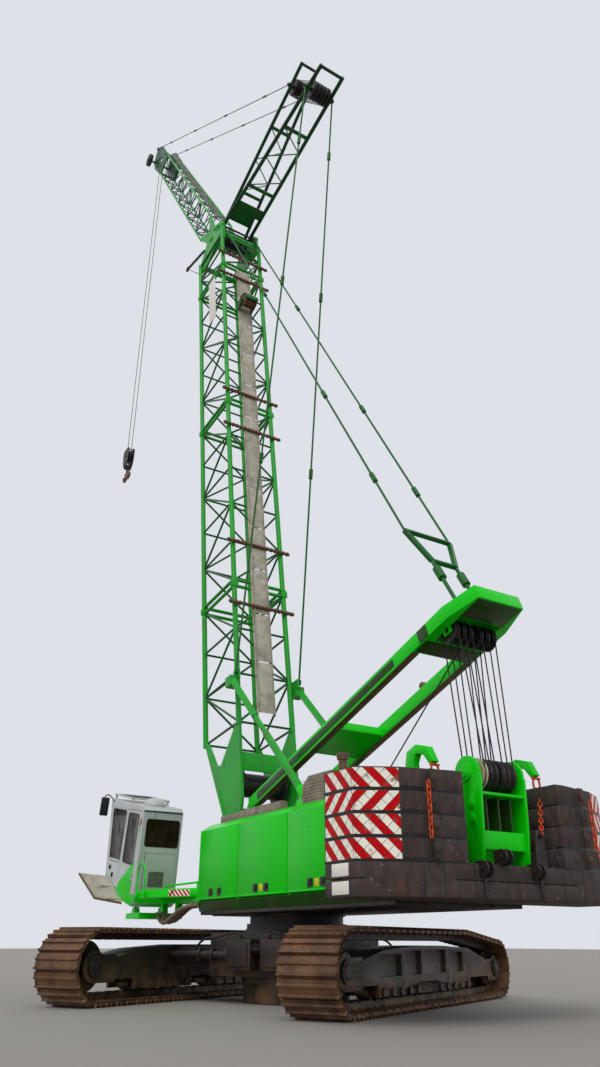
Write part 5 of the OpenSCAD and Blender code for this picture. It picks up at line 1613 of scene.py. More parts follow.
@dataclass
class BoomDressing(Assembly):
    """Walkway planks, the roller bars' collars, a cable reel, a blank plate and a guide arm on the boom."""

    walkway: Flat = (2.82, 17.9)
    planks: int = 12
    roller_bars: tuple[float, ...] = (5.5, 7.25, 11.1, 12.4, 17.45, 18.45)
    reel_at: Point = (-0.72, 0.05, 16.1)

    def reel(self) -> list[Piece]:
        """A cable reel's drum, and the cable laid on it."""
        x, y, s = self.reel_at
        drum = Bench.lathe(both_ends([(0.03, -0.2), (0.21, -0.2), (0.21, -0.17), (0.15, -0.165)]), 28, hollow=True)
        turns = [across(x, y - 0.15 + 0.025 * i, s) for i in range(13)]
        return [Bench.place(drum, across(x, y, s)), *Bench.copies(Bench.ring(0.158, 0.011, 24), turns)]

    def reel_stand(self) -> list[Piece]:
        """The reel's arms, shaft and curved cover."""
        x, y, s = self.reel_at
        arm = [(-0.36, 15.92), (-0.36, 16.28), (-0.78, 16.16), (-0.78, 16.04)]
        made = Bench.copies(Bench.plate(arm, 0.015, 0.003), [upright(at, 0.015) for at in (-0.19, 0.29)])
        made += [Bench.place(Bench.round_bar(0.028, 0.54, 14), across(x, -0.22, s))]
        steps = [math.radians(a) for a in range(-20, 161, 15)]
        rim = [(x - 0.245 * math.cos(a), s + 0.245 * math.sin(a)) for a in steps]
        back = [(x - 0.235 * math.cos(a), s + 0.235 * math.sin(a)) for a in reversed(steps)]
        return [*made, Bench.wall([*rim, *back], y, 0.44)]

    def build(self) -> None:
        """Model and dress the boom's fittings."""
        low, high = self.walkway
        step = (high - low) / self.planks
        plank = Bench.bar((-0.4245, -0.205, 0.015), (-0.4145, 0.205, step - 0.015), 0.003)
        laid = Bench.copies(plank, [shift(0, 0, low + step * i) for i in range(self.planks)])
        curb = Bench.bar((-0.455, -0.006, low), (-0.4145, 0.006, high), 0.002)
        laid += Bench.copies(curb, [shift(0, y, 0) for y in (-0.205, 0.205)])
        self.fit(laid, "boom_walkway_planks", Finish.WALKWAY, BOOM.matrix)
        collar = Bench.lathe(both_ends([(0.034, -0.035), (0.048, -0.035), (0.054, -0.02)]), 14, hollow=True)
        spots = [across(-0.455, y * 0.12, s) for s in self.roller_bars for y in range(-7, 8)]
        self.fit(Bench.copies(collar, spots), "boom_roller_collars", Finish.BROWN_STEEL, BOOM.matrix)
        self.fit(self.reel(), "cable_reel", Finish.BROWN_STEEL, BOOM.matrix)
        # The reel stand takes the lacing's green with its painted shade.
        self.fit(self.reel_stand(), "cable_reel_stand", Finish.LACING_GREEN, BOOM.matrix)
        blank = Bench.bar((0.17, 0.718, 16.05), (0.6, 0.732, 17.95), 0.004)
        Bench.panel(blank, lambda mid, normal: normal.y > 0.9, 0.018, (0, -0.006, 0))
        self.fit([blank], "blank_plate", Finish.PLATE_WHITE, BOOM.matrix)
        foot, tip, anchor = Vector((1.0, 0.66, 20.2)), Vector((2.3, 0.69, 20.62)), Vector((1.262, 0.69, 19.2))
        arm = [*Bench.lines([(foot, tip)], 0.045), *Bench.lines([(tip, anchor)], 0.012),
               *Sheave(0.1, 0.05).row([tuple(tip)])]
        self.fit(arm, "line_guide_arm", Finish.DARK_STEEL, BOOM.matrix)


@dataclass
class Strut(Assembly):
    """A jib strut: tube legs, cross tubes, lacing, and a sheave pack below its round head."""

    stand: Stand
    node: str
    foot_half: float
    head_half: float
    leg: float
    length: float = 6.15
    tip: float = 0.75
    bars: tuple[float, float] = (0.3, 0.66)

    def half(self, share: float) -> float:
        """Half the width at a share of the length."""
        return self.foot_half + (self.head_half - self.foot_half) * share

    def spot(self, share: float, hand: int) -> Vector:
        """A point of a leg's axis."""
        return Vector((0, hand * self.half(share), self.length * share))

    def legs(self) -> list[Piece]:
        """Legs, the head's cross tube, foot lugs and the cheeks of the tip pin."""
        stock = TubeStock(self.leg / 2, 24)
        for hand in (-1, 1):
            stock.lay(Vector((0, hand * (self.foot_half - 0.014), 0.19)), self.spot(1, hand))
        head = TubeStock(self.leg * 0.4, 20, 0.006, 0.05)
        top = 1 - self.leg * 0.4 / self.length
        head.lay(self.spot(top, -1), self.spot(top, 1))
        made = stock.cut() + head.cut()
        lug = [(0.06, -0.09), (0.1, -0.04), (0.1, 0.06), (0.05, 0.26), (-0.05, 0.26), (-0.1, 0.06), (-0.1, -0.04),
               (-0.06, -0.09)]
        made += both_sides(Bench.wall(lug, self.foot_half, 0.05, 0.005))
        axle, wide = self.length - self.tip, self.leg
        cheek = [(wide / 2, axle - 0.16), (wide / 2, axle + 0.16), (-wide, axle + 0.12), (-wide, axle - 0.12)]
        return made + both_sides(Bench.wall(cheek, self.half(0.88), wide * 0.5, 0.005))

    def ties(self) -> list[Piece]:
        """Cross tubes with collars, the foot plate and thin lacing."""
        bars = TubeStock(self.leg / 2, 20, 0.008, self.leg * 0.52)
        for share in self.bars:
            bars.lay(self.spot(share, -1), self.spot(share, 1))
        thin = TubeStock(self.leg * 0.16, 10, 0.004, self.leg * 0.6)
        low, high = self.bars
        for i in range(4):
            a, b = low + (high - low) * i / 4, low + (high - low) * (i + 1) / 4
            hand = 1 if i % 2 == 0 else -1
            thin.lay(self.spot(a, hand), self.spot(b, -hand))
        y = self.half(0.2)
        foot = Bench.bar((-0.02, -y, self.length * 0.14), (0.02, y, self.length * 0.2), 0.005)
        return [*bars.cut(), *thin.cut(), foot]

    def sheaves(self) -> list[Piece]:
        """The sheave pack on its pin, whose thinner ends reach past the cheeks."""
        axle, half = self.length - self.tip, self.head_half
        return [*Sheave(0.265, half * 0.2).row((0, share * half, axle) for share in PACK_SHARES),
                Bench.pin(0.05, half, 0, axle), Bench.pin(0.035, half + 0.16, 0, axle, 16)]

    def build(self) -> None:
        """Model and dress the strut."""
        where = self.stand.matrix
        self.fit(self.legs(), f"{self.node}_legs", Finish.STRUT_GREEN, where, (self.node,))
        # The ties take the lacing's green with its painted shade.
        self.fit(self.ties(), f"{self.node}_ties", Finish.LACING_GREEN, where)
        self.fit(self.sheaves(), f"{self.node}_sheaves", Finish.DARK_STEEL, where)


@dataclass
class JibTackle(Assembly):
    """Rope lines between the sheave packs of the two struts."""

    reach: float = 5.4
    groove: float = 0.244

    def build(self) -> None:
        """Model and dress the lines from the boom's strut to the jib's."""
        rear, front = REAR_STRUT.at(0, 0, self.reach), FRONT_STRUT.at(0, 0, self.reach)
        way = (front - rear).normalized()
        square = Vector((-way.z, 0, way.x)) * self.groove
        ends = []
        for share in PACK_SHARES:
            near, far = Vector((0, share * REAR_HALF, 0)), Vector((0, share * FRONT_HALF, 0))
            ends += [(rear + near + square * side, front + far + square * side) for side in (-1, 1)]
        self.fit(Bench.lines(ends, 0.011, 10), "jib_tackle_ropes", Finish.ROPE,
                 bend=Bend("boom", "jib", rear, front))


@dataclass
class Mast(Assembly):
    """Mast: box legs and head, its sheaves, and the falls down to the lower sheave block."""

    sheave_at: Flat = (0.44, 7.1)
    sheave_radius: float = 0.19
    sheave_rows: tuple[float, ...] = (0.11, 0.255, 0.4)
    lower_rows: tuple[float, ...] = (0.075, 0.18, 0.285)
    lower_axis: Point = (-5.42, 0.0, 3.2)
    lower_radius: float = 0.235
    groove: float = 0.93
    rope: float = 0.011

    def falls(self) -> None:
        """The lead rope, and rope lines between the mast's sheaves and the lower ones, two to a sheave."""
        x, s = self.sheave_at
        top, low = MAST.at(x, 0, s), Vector(self.lower_axis)
        way = (top - low).normalized()
        square = Vector((-way.z, 0, way.x))
        ends = [(low + Vector((0, hand * near, 0)) + square * side * (self.lower_radius * self.groove),
                 top + Vector((0, hand * far, 0)) + square * side * (self.sheave_radius * self.groove))
                for hand in (-1, 1) for near, far in zip(self.lower_rows, self.sheave_rows) for side in (-1, 1)]
        self.fit(Bench.lines(ends, self.rope, 14), "mast_falls", Finish.ROPE, bend=Bend("upper", "mast", low, top))
        lead = Vector((-1.5, 0, 2.44)), MAST.at(x + 0.1, -0.1, s - 0.1)
        self.fit(Bench.lines([lead], 0.012, 14), "mast_lead_rope", Finish.ROPE, bend=Bend("upper", "mast", *lead))

    def lower_sheaves(self) -> None:
        """Sheaves of the lower block, of which the outer one on the left is pale, and the rope round them."""
        x, _, z = self.lower_axis
        below = [across(x, hand * y, z) for hand in (-1, 1) for y in self.lower_rows]
        *dark, pale = Bench.copies(Sheave(self.lower_radius, 0.08).model(), below)
        self.fit(dark, "lower_sheaves_grooved", Finish.DARK_STEEL, replaces=("lower_sheaves",), body="upper")
        self.fit([pale], "lower_sheaves_outer", Finish.BEIGE, body="upper")
        loops = Bench.copies(Bench.ring(self.lower_radius * self.groove, self.rope), below)
        self.fit(loops, "lower_rope_wraps", Finish.ROPE, body="upper")

    def build(self) -> None:
        """Model and dress the mast."""
        self.soften("mast_frame", 0.012, Finish.BRIGHT_GREEN)
        x, s = self.sheave_at
        places = [across(x, hand * y, s) for hand in (-1, 1) for y in self.sheave_rows]
        wheels = [*Bench.copies(Sheave(self.sheave_radius, 0.08).model(), places), Bench.pin(0.045, 0.475, x, s)]
        self.fit(wheels, "mast_sheaves_grooved", Finish.DARK_STEEL, MAST.matrix, ("mast_sheaves",))
        wraps = Bench.copies(Bench.ring(self.sheave_radius * self.groove, self.rope), places)
        self.fit(wraps, "mast_rope_wraps", Finish.ROPE, MAST.matrix)
        # Brown wear strips on the legs' undersides, widened to paint shade there as well.
        rubbed_and_shaded_strip = Bench.bar((0.47, 0.497, 1.0), (0.482, 0.643, 6.39), 0.003)
        roller = Bench.lathe([(0, 0), (0.06, 0), (0.075, 0.02), (0.075, 0.1), (0.06, 0.12), (0, 0.12)], 20)
        rests = [*both_sides(rubbed_and_shaded_strip), Bench.place(roller, across(0.76, -0.63, 5.25))]
        self.fit(rests, "mast_rubbed_and_shaded_strips", Finish.BROWN_STEEL, MAST.matrix)
        # Dark green sheets of painted shade on the legs' channels, undersides and head.
        shade = both_sides(Bench.bar((0.53, 0.642, 1.05), (0.67, 0.651, 5.9), 0.003))
        shade += [Bench.bar((0.468, -y, low), (0.481, y, high), 0.003)
                  for y, low, high in ((0.6, 6.42, 6.74), (0.46, 7.45, 7.92))]
        shade += both_sides(Bench.bar((0.49, 0.644, 6.62), (0.71, 0.655, 6.86), 0.003))
        self.fit(shade, "mast_painted_shade_panels", Finish.PAINTED_SHADE_GREEN, MAST.matrix)
        self.falls()
        self.lower_sheaves()


@dataclass
class Hook(Assembly):
    """Hook block, its two-horned hook and the ropes above it."""

    middle: Flat = (12.8396, 18.5521)
    rope_top: float = 34.93
    rope_x: float = 0.23

    def block(self) -> list[Piece]:
        """Cheek plates, sheave, pins and crosshead."""
        outline = [(-0.29, -0.06), (-0.27, 0.03), (-0.2, 0.1), (-0.1, 0.11), (0.1, 0.11), (0.2, 0.1), (0.27, 0.03),
                   (0.29, -0.06), (0.28, -0.25), (0.24, -0.52), (0.17, -0.68), (0.09, -0.76), (-0.09, -0.76),
                   (-0.17, -0.68), (-0.24, -0.52), (-0.28, -0.25)]
        pins = [(0.05, 0.15, 0, -0.22)]
        pins += [(0.02, 0.14, x, z) for x, z in ((-0.18, 0.03), (0.18, 0.03), (-0.12, -0.6), (0.12, -0.6))]
        return [*both_sides(Bench.wall(outline, 0.11, 0.04, 0.008)), *Sheave(0.25, 0.07).row([(0, 0, -0.22)]),
                *(Bench.pin(*values, 16) for values in pins),
                Bench.bar((-0.09, -0.13, -0.8), (0.09, 0.13, -0.64), 0.012)]

    def horns(self) -> list[Piece]:
        """Shank, nut and the two horns."""
        shank = [(0, 0), (0.055, 0), (0.055, -0.1), (0.048, -0.13), (0.06, -0.2), (0.09, -0.28), (0.08, -0.42),
                 (0, -0.48)]
        made = [Bench.lathe(shank, 24)]
        arc = [math.radians(a) for a in range(200, 391, 19)]
        for side in (-1, 1):
            points = [(side * (0.17 + 0.135 * math.cos(a)), 0, -0.34 + 0.135 * math.sin(a)) for a in arc]
            made += [Bench.pipe(points, 0.05, 4)]
        return made

    def build(self) -> None:
        """Model and dress the ropes, the block and the hook."""
        x, z = self.middle
        ends = [(Vector((at, 0, self.rope_top)), Vector((at, 0, z - 0.108)))
                for at in (x - self.rope_x, x + self.rope_x)]
        self.fit(Bench.lines(ends, 0.012, 24), "hoist_rope_lines", Finish.ROPE, replaces=("hoist_ropes",),
                 bend=Bend("hoist_line", "hook_block", *ends[0]))
        self.fit(self.block(), "hook_block_dressed", Finish.DARK_STEEL, shift(x, 0, z), ("hook_block",))
        self.fit(self.horns(), "hook_horns", Finish.BROWN_STEEL, shift(x, 0, z - 0.8003), ("hook",), "hook")


@dataclass
class Cab(Assembly):
    """Tilting cab: shell, window seals, roof guard, mirror, grille, trim and the platform's fittings."""

    half: float = 0.475
    rear_top: float = 1.9
    rear_slope: float = 0.12 / 1.88
    stand: Stand = Stand((3.6304, 1.425, 1.6888), -10)

    def seal(self, outline: Sequence[Flat], y: float) -> Piece:
        """A rubber seal with round corners along an outline in X and Z, on a side wall.

        Args:
            outline: Corners in X and Z.
            y: The wall's outer face.

        Returns:
            The seal with its pane.
        """
        made = Bench.wall(self.rounded(outline, 0.09), y, 0.012)
        out = math.copysign(1, y)
        Bench.panel(made, lambda mid, normal: normal.y * out > 0.9, 0.028, (0, -0.007 * out, 0))
        return made

    @staticmethod
    def rounded(outline: Sequence[Flat], radius: float, steps: int = 5) -> list[Flat]:
        """An outline with its corners rounded.

        Args:
            outline: Corners.
            radius: Distance from a corner to where its bend starts.
            steps: Lengths round each bend.

        Returns:
            The new outline.
        """
        found = []
        for i, corner in enumerate(outline):
            here = Vector(corner)
            back = (Vector(outline[i - 1]) - here).normalized() * radius
            ahead = (Vector(outline[(i + 1) % len(outline)]) - here).normalized() * radius
            for share in (k / steps for k in range(steps + 1)):
                found.append(tuple(here + back * (1 - share) ** 2 + ahead * share ** 2))
        return found

    def rear_x(self, z: float) -> float:
        """The rear wall's outer face at a height."""
        return -0.06 + (z - 0.02) * self.rear_slope

    def rear_plate(self, low: float, high: float, y: float, half: float, proud: float,
                   radius: float = 0.07) -> Piece:
        """Model a plate with round corners on the sloping rear wall.

        Args:
            low: Height of its lower edge.
            high: Height of its upper edge.
            y: Its middle across the cab.
            half: Half its width.
            proud: How far it stands out of the wall.
            radius: Radius of its corners.

        Returns:
            The plate.
        """
        outline = self.rounded([(-half, low), (half, low), (half, high), (-half, high)], radius)
        lean = Matrix.Rotation(math.atan(self.rear_slope), 4, "Y")
        where = shift(self.rear_x(0) - 0.001, y, 0) @ lean @ turned("Y", -90)
        return Bench.place(Bench.plate([(v, u) for u, v in outline], proud), where)

    def glazing(self) -> None:
        """Dark panes with rubber seals, standing just proud of the walls."""
        rear = self.rear_plate(1.16, 1.74, -0.02, 0.4, 0.012)
        Bench.panel(rear, lambda mid, normal: normal.x < -0.9, 0.03, (0.006, 0, 0))
        side = [(1.1, 0.7), (1.77, 0.7), (1.98, 1.84), (1.1, 1.84)]
        far = [(0.16, 0.68), (1.06, 0.68), (1.06, 1.84), (0.16, 1.84)]
        pane = [(0.27, 0.74), (0.92, 0.74), (0.92, 1.81), (0.27, 1.81)]
        y = self.half + 0.004
        self.fit([self.seal(side, y), self.seal(side, -y), self.seal(far, -y), rear], "cab_side_glazing",
                 Finish.GLASS, self.stand.matrix, angle=30)
        self.fit([self.seal(pane, y)], "cab_door_glazing", Finish.GLASS, self.stand.matrix, body="cab_door",
                 angle=30)

    def trim(self) -> None:
        """Skin over the foot of the windows, green lower band and the door's green patch."""
        y = self.half + 0.003
        skin = [(1.08, 0.36), (1.7, 0.36), (1.79, 0.76), (1.08, 0.76)]
        skins = [*both_sides(Bench.wall(skin, y, 0.008)), self.rear_plate(1.04, 1.22, 0, 0.36, 0.006, 0.01)]
        self.fit(skins, "cab_skin", Finish.CAB_GREY, self.stand.matrix, angle=20)
        band = [(-0.045, 0.03), (0.06, -0.05), (1.65, 0.07), (1.84, 0.33), (1.84, 0.42), (1.6, 0.2), (0.06, 0.17),
                (-0.03, 0.2)]
        bands = [*both_sides(Bench.wall(band, y, 0.006)), self.rear_plate(0.04, 0.16, 0, 0.46, 0.006, 0.02)]
        self.fit(bands, "cab_green_band", Finish.BRIGHT_GREEN, self.stand.matrix, angle=20)
        patch = [(0.2, 0.16), (0.98, 0.16), (0.98, 0.3), (0.2, 0.84)]
        self.fit([Bench.wall(patch, y, 0.005)], "cab_door_patch", Finish.BRIGHT_GREEN, self.stand.matrix,
                 body="cab_door", angle=20)

    def roof(self) -> None:
        """Roof guard of bars and slats, and a dome beside them."""
        rails = [Bench.bar((0.9, s * 0.45 - 0.02, 2.07), (2.12, s * 0.45 + 0.02, 2.11), 0.005) for s in (-1, 1)]
        rails += [Bench.bar((x - 0.02, -0.45, 2.07), (x + 0.02, 0.45, 2.11), 0.005) for x in (0.92, 2.1)]
        foot = Bench.bar((-0.02, -0.02, 1.98), (0.02, 0.02, 2.08), 0.004)
        rails += Bench.copies(foot, [shift(x, y, 0) for x in (0.93, 2.06) for y in (-0.43, 0.43)])
        lean = Matrix.Rotation(-math.atan2(0.07, 1.98), 4, "Y")
        where = self.stand.matrix @ shift(0.16, 0, 2.0) @ lean @ shift(-0.16, 0, -2.0)
        self.fit(rails, "cab_roof_guard", Finish.CAB_GREY, where)
        slat = Bench.bar((0.97, -0.44, 2.08), (0.985, 0.44, 2.1), 0.003)
        self.fit(Bench.copies(slat, [shift(0.05 * i, 0, 0) for i in range(22)]), "cab_roof_slats",
                 Finish.BLACK_PAINT_AND_SHADE, where)
        dome = [(0, 0.16), (0.1, 0.155), (0.18, 0.13), (0.23, 0.08), (0.25, 0.05), (0.25, 0), (0, 0)]
        self.fit([Bench.lathe(dome, 28)], "cab_roof_dome", Finish.CAB_GREY, where @ shift(0.5, 0.05, 1.995))

    def fittings(self) -> None:
        """Mirror on its arm, rear grille, seam strips and lamps."""
        y, where = self.half, self.stand.matrix
        path = [(2.06, y - 0.02, 1.96), (2.1, y + 0.1, 2.1), (2.12, y + 0.18, 2.12), (2.12, y + 0.2, 1.72)]
        mirror = [Bench.pipe(path, 0.013), Bench.bar((2.09, y + 0.1, 1.64), (2.15, y + 0.3, 2.06), 0.022)]
        lamp = Bench.lathe([(0, 0), (0.04, 0), (0.05, 0.01), (0.05, 0.02), (0.035, 0.03), (0, 0.03)], 18)
        mirror += Bench.copies(lamp, [across(x, y + 0.006, z) for x, z in ((1.62, 0.56), (1.42, 0.42))])
        marker = Bench.bar((0.1, y - 0.004, 1.6), (0.16, y + 0.02, 1.72), 0.008)
        self.fit([marker], "cab_marker_lamp", Finish.ORANGE, where, slot="tinted_glass")
        self.fit(mirror, "cab_mirror_and_lamps", Finish.RUBBER, where)
        grille = [self.rear_plate(0.36, 0.66, 0.022, 0.175, 0.012, 0.005)]
        for z in (0.39 + 0.03 * i for i in range(9)):
            x = self.rear_x(z) - 0.012
            grille.append(Bench.bar((x - 0.004, -0.138, z - 0.006), (x + 0.006, 0.182, z + 0.008), 0.002))
        self.fit(grille, "cab_rear_grille", Finish.GRILLE, where, angle=25)
        gutter = Bench.bar((-0.02, -0.465, -0.012), (0.012, 0.465, 0.012), 0.005)
        seams = [self.rear_plate(0.18, 1.05, 0.33, 0.004, 0.004, 0.001),
                 self.rear_plate(1.76, 1.9, 0.2, 0.004, 0.004, 0.001),
                 Bench.place(gutter, shift(self.rear_x(self.rear_top), 0, self.rear_top))]
        self.fit(seams, "cab_rear_seams", Finish.BLACK_PAINT_AND_SHADE, where)

    def platform(self) -> None:
        """Handrail, deck, striped strip and hoses on the upper body."""
        loop = [(2.86, 1.96, 1.86), (2.86, 1.96, 2.2), (2.92, 1.96, 2.4), (3.06, 1.96, 2.46), (3.2, 1.96, 2.4),
                (3.25, 1.96, 2.2), (3.25, 1.96, 1.86)]
        deck = Bench.plate([(1.66, 1.06), (3.3, 1.06), (3.3, 1.9), (2.8, 1.9), (1.66, 1.305)], 0.17, 0.01)
        rails = [Bench.pipe(loop, 0.019), Bench.place(deck, shift(0, 0, 1.77))]
        rails += [Bench.bar((x - 0.03, 1.88, 1.8), (x + 0.03, 1.98, 1.9), 0.006) for x in (2.86, 3.25)]
        self.fit(rails, "platform_rails", Finish.BRIGHT_GREEN, body="upper")
        strip = Bench.sheet([(2.31, 1.6485), (1.83, 1.398)], 1.795, 1.915)
        self.fit([strip], "platform_strip", Finish.BOARD_FINE, body="upper", angle=20)
        self.step_tray()
        hoses = []
        for y, sag, radius in ((1.3, 0.0, 0.05), (1.42, 0.02, 0.04), (1.2, -0.02, 0.045)):
            hoses.append(Bench.pipe([(1.6, y, 1.62), (2.1, y + 0.02, 1.58 - sag), (2.6, y, 1.44 - sag),
                                     (3.0, y, 1.34 - sag), (3.38, y, 1.5)], radius))
        self.fit(hoses, "platform_hoses", Finish.HOSE, body="upper")

    def step_tray(self) -> None:
        """The slanting step tray, its rim and its stays, which ride on the cab."""
        base, out, far = Vector((4.12, 1.935, 1.72)), Vector((4.4, 2.46, 1.82)), Vector((5.08, 1.96, 2.3))
        tip = out + (far - base) * 0.9 + (out - base) * 0.15
        u_axis = (tip - out).normalized()
        w_axis = u_axis.cross(out - base).normalized()
        v_axis = w_axis.cross(u_axis)
        outline = [((p - base).dot(u_axis), (p - base).dot(v_axis)) for p in (base, far, tip, out)]
        tray = Bench.plate(outline, 0.022, 0.005)
        Bench.edit(tray)
        Bench.pick(tray, Element.FACE, lambda mid, normal: abs(normal.z) > 0.9)
        bpy.ops.mesh.inset(thickness=0.03)
        bpy.ops.transform.resize(value=(1, 1, 0.4), center_override=(0, 0, 0.011))
        Bench.leave()
        self.fit(Bench.lines([(base, out), (out, tip)], 0.026), "step_tray_rim", Finish.BROWN_STEEL)
        stays = [Bench.pipe([at + Vector((0, -0.06, 0)), at + Vector((0, 0.3, 0.02))], 0.02)
                 for at in (base.lerp(far, 0.12), base.lerp(far, 0.6))]
        basis = Matrix((u_axis, v_axis, w_axis)).transposed().to_4x4()
        tray = Bench.place(tray, Matrix.Translation(base) @ basis)
        self.fit([tray, *stays], "step_tray", Finish.WALKWAY)

    def build(self) -> None:
        """Model and dress the cab."""
        self.soften("cab_shell", 0.014, Finish.CAB_GREY)
        self.glazing()
        self.trim()
        self.roof()
        self.fittings()
        self.platform()


@dataclass
class HousingDressing(Assembly):
    """Latches, lips, tags, bolts, roof boxes' fronts and meshes, exhaust and winch ropes of the housings."""

    half: float = 1.31
    latches: tuple[float, ...] = (1.07, 0.71, -0.7, -1.08, -2.5, -2.88)
    tags: tuple[float, ...] = (-0.89, -2.69)
    doors: tuple[tuple[int, float, float], ...] = ((1, 0.01, 1.595), (2, -1.78, 0.01), (3, -3.315, -1.78))
    exhaust_at: Flat = (0.9, 3.32)

    def on_side(self, x: float, z: float) -> Matrix:
        """A place on the left side, facing outwards."""
        return shift(x, self.half, z) @ turned("X", -90)

    def latch(self) -> Piece:
        """A recessed latch: a rounded plate with a paddle across it."""
        plate = Bench.plate([(-0.06, -0.07), (0.06, -0.07), (0.08, -0.05), (0.08, 0.05), (0.06, 0.07),
                             (-0.06, 0.07), (-0.08, 0.05), (-0.08, -0.05)], 0.012, 0.003)
        return Bench.join([plate, Bench.bar((-0.04, -0.045, 0.01), (0.04, 0.03, 0.026), 0.005)])

    def door_fittings(self) -> None:
        """Latches, a turned lip and a tag for each door, on the door they belong to."""
        y = self.half
        for side, where in (("left", WORLD), ("right", MIRROR)):
            for index, low, high in self.doors:
                node = f"door_{side}_{index}"
                spots = [self.on_side(x, 1.83) for x in self.latches if low < x < high]
                made = Bench.copies(self.latch(), spots)
                self.fit(made, f"{node}_latches", Finish.BLACK_PAINT_AND_SHADE, where, body=node)
                lip = Bench.bar((low + 0.05, y - 0.002, 1.71), (high - 0.05, y + 0.014, 1.735), 0.004)
                self.fit([lip], f"{node}_lip", Finish.BRIGHT_GREEN, where, body=node)
                for x in (at for at in self.tags if low < at < high):
                    tag = Bench.bar((x - 0.06, y - 0.002, 1.77), (x + 0.06, y + 0.004, 1.89), 0.002)
                    self.fit([tag], f"{node}_tag", Finish.YELLOW, where, body=node)

    def panels(self) -> None:
        """Bolt heads round the fixed rear panels, and dark green sheets of painted shade on the slanting bellies.
        """
        bolt = Bench.lathe([(0, 0), (0.018, 0), (0.018, 0.011), (0.01, 0.015), (0, 0.015)], 6)
        spots = [self.on_side(x, z) for x in (-4.5, -4.1, -3.7, -3.4) for z in (1.78, 2.98)]
        spots += [self.on_side(x, z) for x in (-4.5, -3.4) for z in (2.08, 2.38, 2.68)]
        heads = Bench.copies(bolt, [*spots, *[MIRROR @ spot for spot in spots]])
        self.fit(heads, "housing_bolts", Finish.BRIGHT_GREEN)
        # Dark green sheets of painted shade on the slanting bellies.
        low, high = Vector((0, self.half - 0.057, 1.5)), Vector((0, self.half + 0.003, 1.676))
        out = Vector((0, high.z - low.z, low.y - high.y)).normalized() * 0.003
        turn = Matrix.Rotation(math.atan2(low.y - high.y, high.z - low.z), 4, "X")
        belly = []
        for a, b in ((-4.58, -0.01), (0.01, 1.63)):
            skin = Bench.bar((a, -0.0015, 0), (b, 0.0015, (high - low).length), 0.001)
            belly += both_sides(Bench.place(skin, Matrix.Translation(low + out) @ turn))
        self.fit(belly, "housing_belly_painted_shade", Finish.PAINTED_SHADE_GREEN, angle=20)

    def roof(self) -> None:
        """Lids, walls, fronts and strips of the roof boxes."""
        mesh = both_sides(Bench.bar((-0.985, 0.855, 3.308), (0.54, 0.975, 3.322), 0.004))
        mesh += both_sides(Bench.bar((-0.98, 0.984, 3.165), (0.54, 0.993, 3.295), 0.003))
        fronts = both_sides(Bench.bar((0.552, 0.845, 3.13), (1.42, 0.985, 3.3), 0.02))
        fronts += [Bench.bar((-2.63, 0.984, 3.2 + 0.055 * i), (-1.77, 0.994, 3.215 + 0.055 * i), 0.003)
                   for i in range(7)]
        self.fit(fronts, "roof_box_fronts", Finish.ROOF_BOX)
        end = Bench.lathe([(0, 0), (0.1, 0), (0.115, 0.015), (0.1, 0.02), (0, 0.02)], 24)
        mesh.append(Bench.place(end, shift(-2.63, 0.863, 3.4) @ turned("Y", -90)))
        self.fit(mesh, "roof_box_meshes", Finish.ROOF_MESH)

    def exhaust(self) -> None:
        """The exhaust's drum on its straps, elbow and cap."""
        y, z = self.exhaust_at
        drum = Bench.lathe(both_ends([(0, -0.42), (0.12, -0.42), (0.14, -0.4), (0.145, -0.2), (0.14, -0.19),
                                      (0.145, -0.18)]), 28)
        cap = [(0.088, 0), (0.108, 0), (0.11, 0.06), (0.104, 0.065), (0.088, 0.06)]
        made = [Bench.place(drum, shift(-3.35, y, z) @ turned("Y")),
                Bench.pipe([(-2.98, y, z), (-2.9, y, z + 0.02), (-2.9, y, z + 0.13)], 0.078, 10),
                Bench.place(Bench.lathe(cap, 28, hollow=True), shift(-2.9, y, 3.8)),
                *Bench.copies(Bench.ring(0.146, 0.008), [shift(x, y, z) @ turned("Y") for x in (-3.6, -3.1)])]
        made += [Bench.bar((x - 0.03, y - 0.06, 3.14), (x + 0.03, y + 0.06, 3.2), 0.006) for x in (-3.6, -3.1)]
        self.fit(made, "exhaust_drum", Finish.BROWN_STEEL)

    def winches(self) -> None:
        """Rope laid on the deck winches' drums."""
        for i, x in enumerate((-0.35, -1.35)):
            turns = [across(x, -0.39 + 0.026 * k, 2.23) for k in range(31)]
            self.fit(Bench.copies(Bench.ring(0.268, 0.012, 28), turns), f"winch_rope_{i + 1}", Finish.ROPE)

    def build(self) -> None:
        """Model and dress the housings' fittings."""
        self.door_fittings()
        self.panels()
        self.roof()
        self.exhaust()
        self.winches()


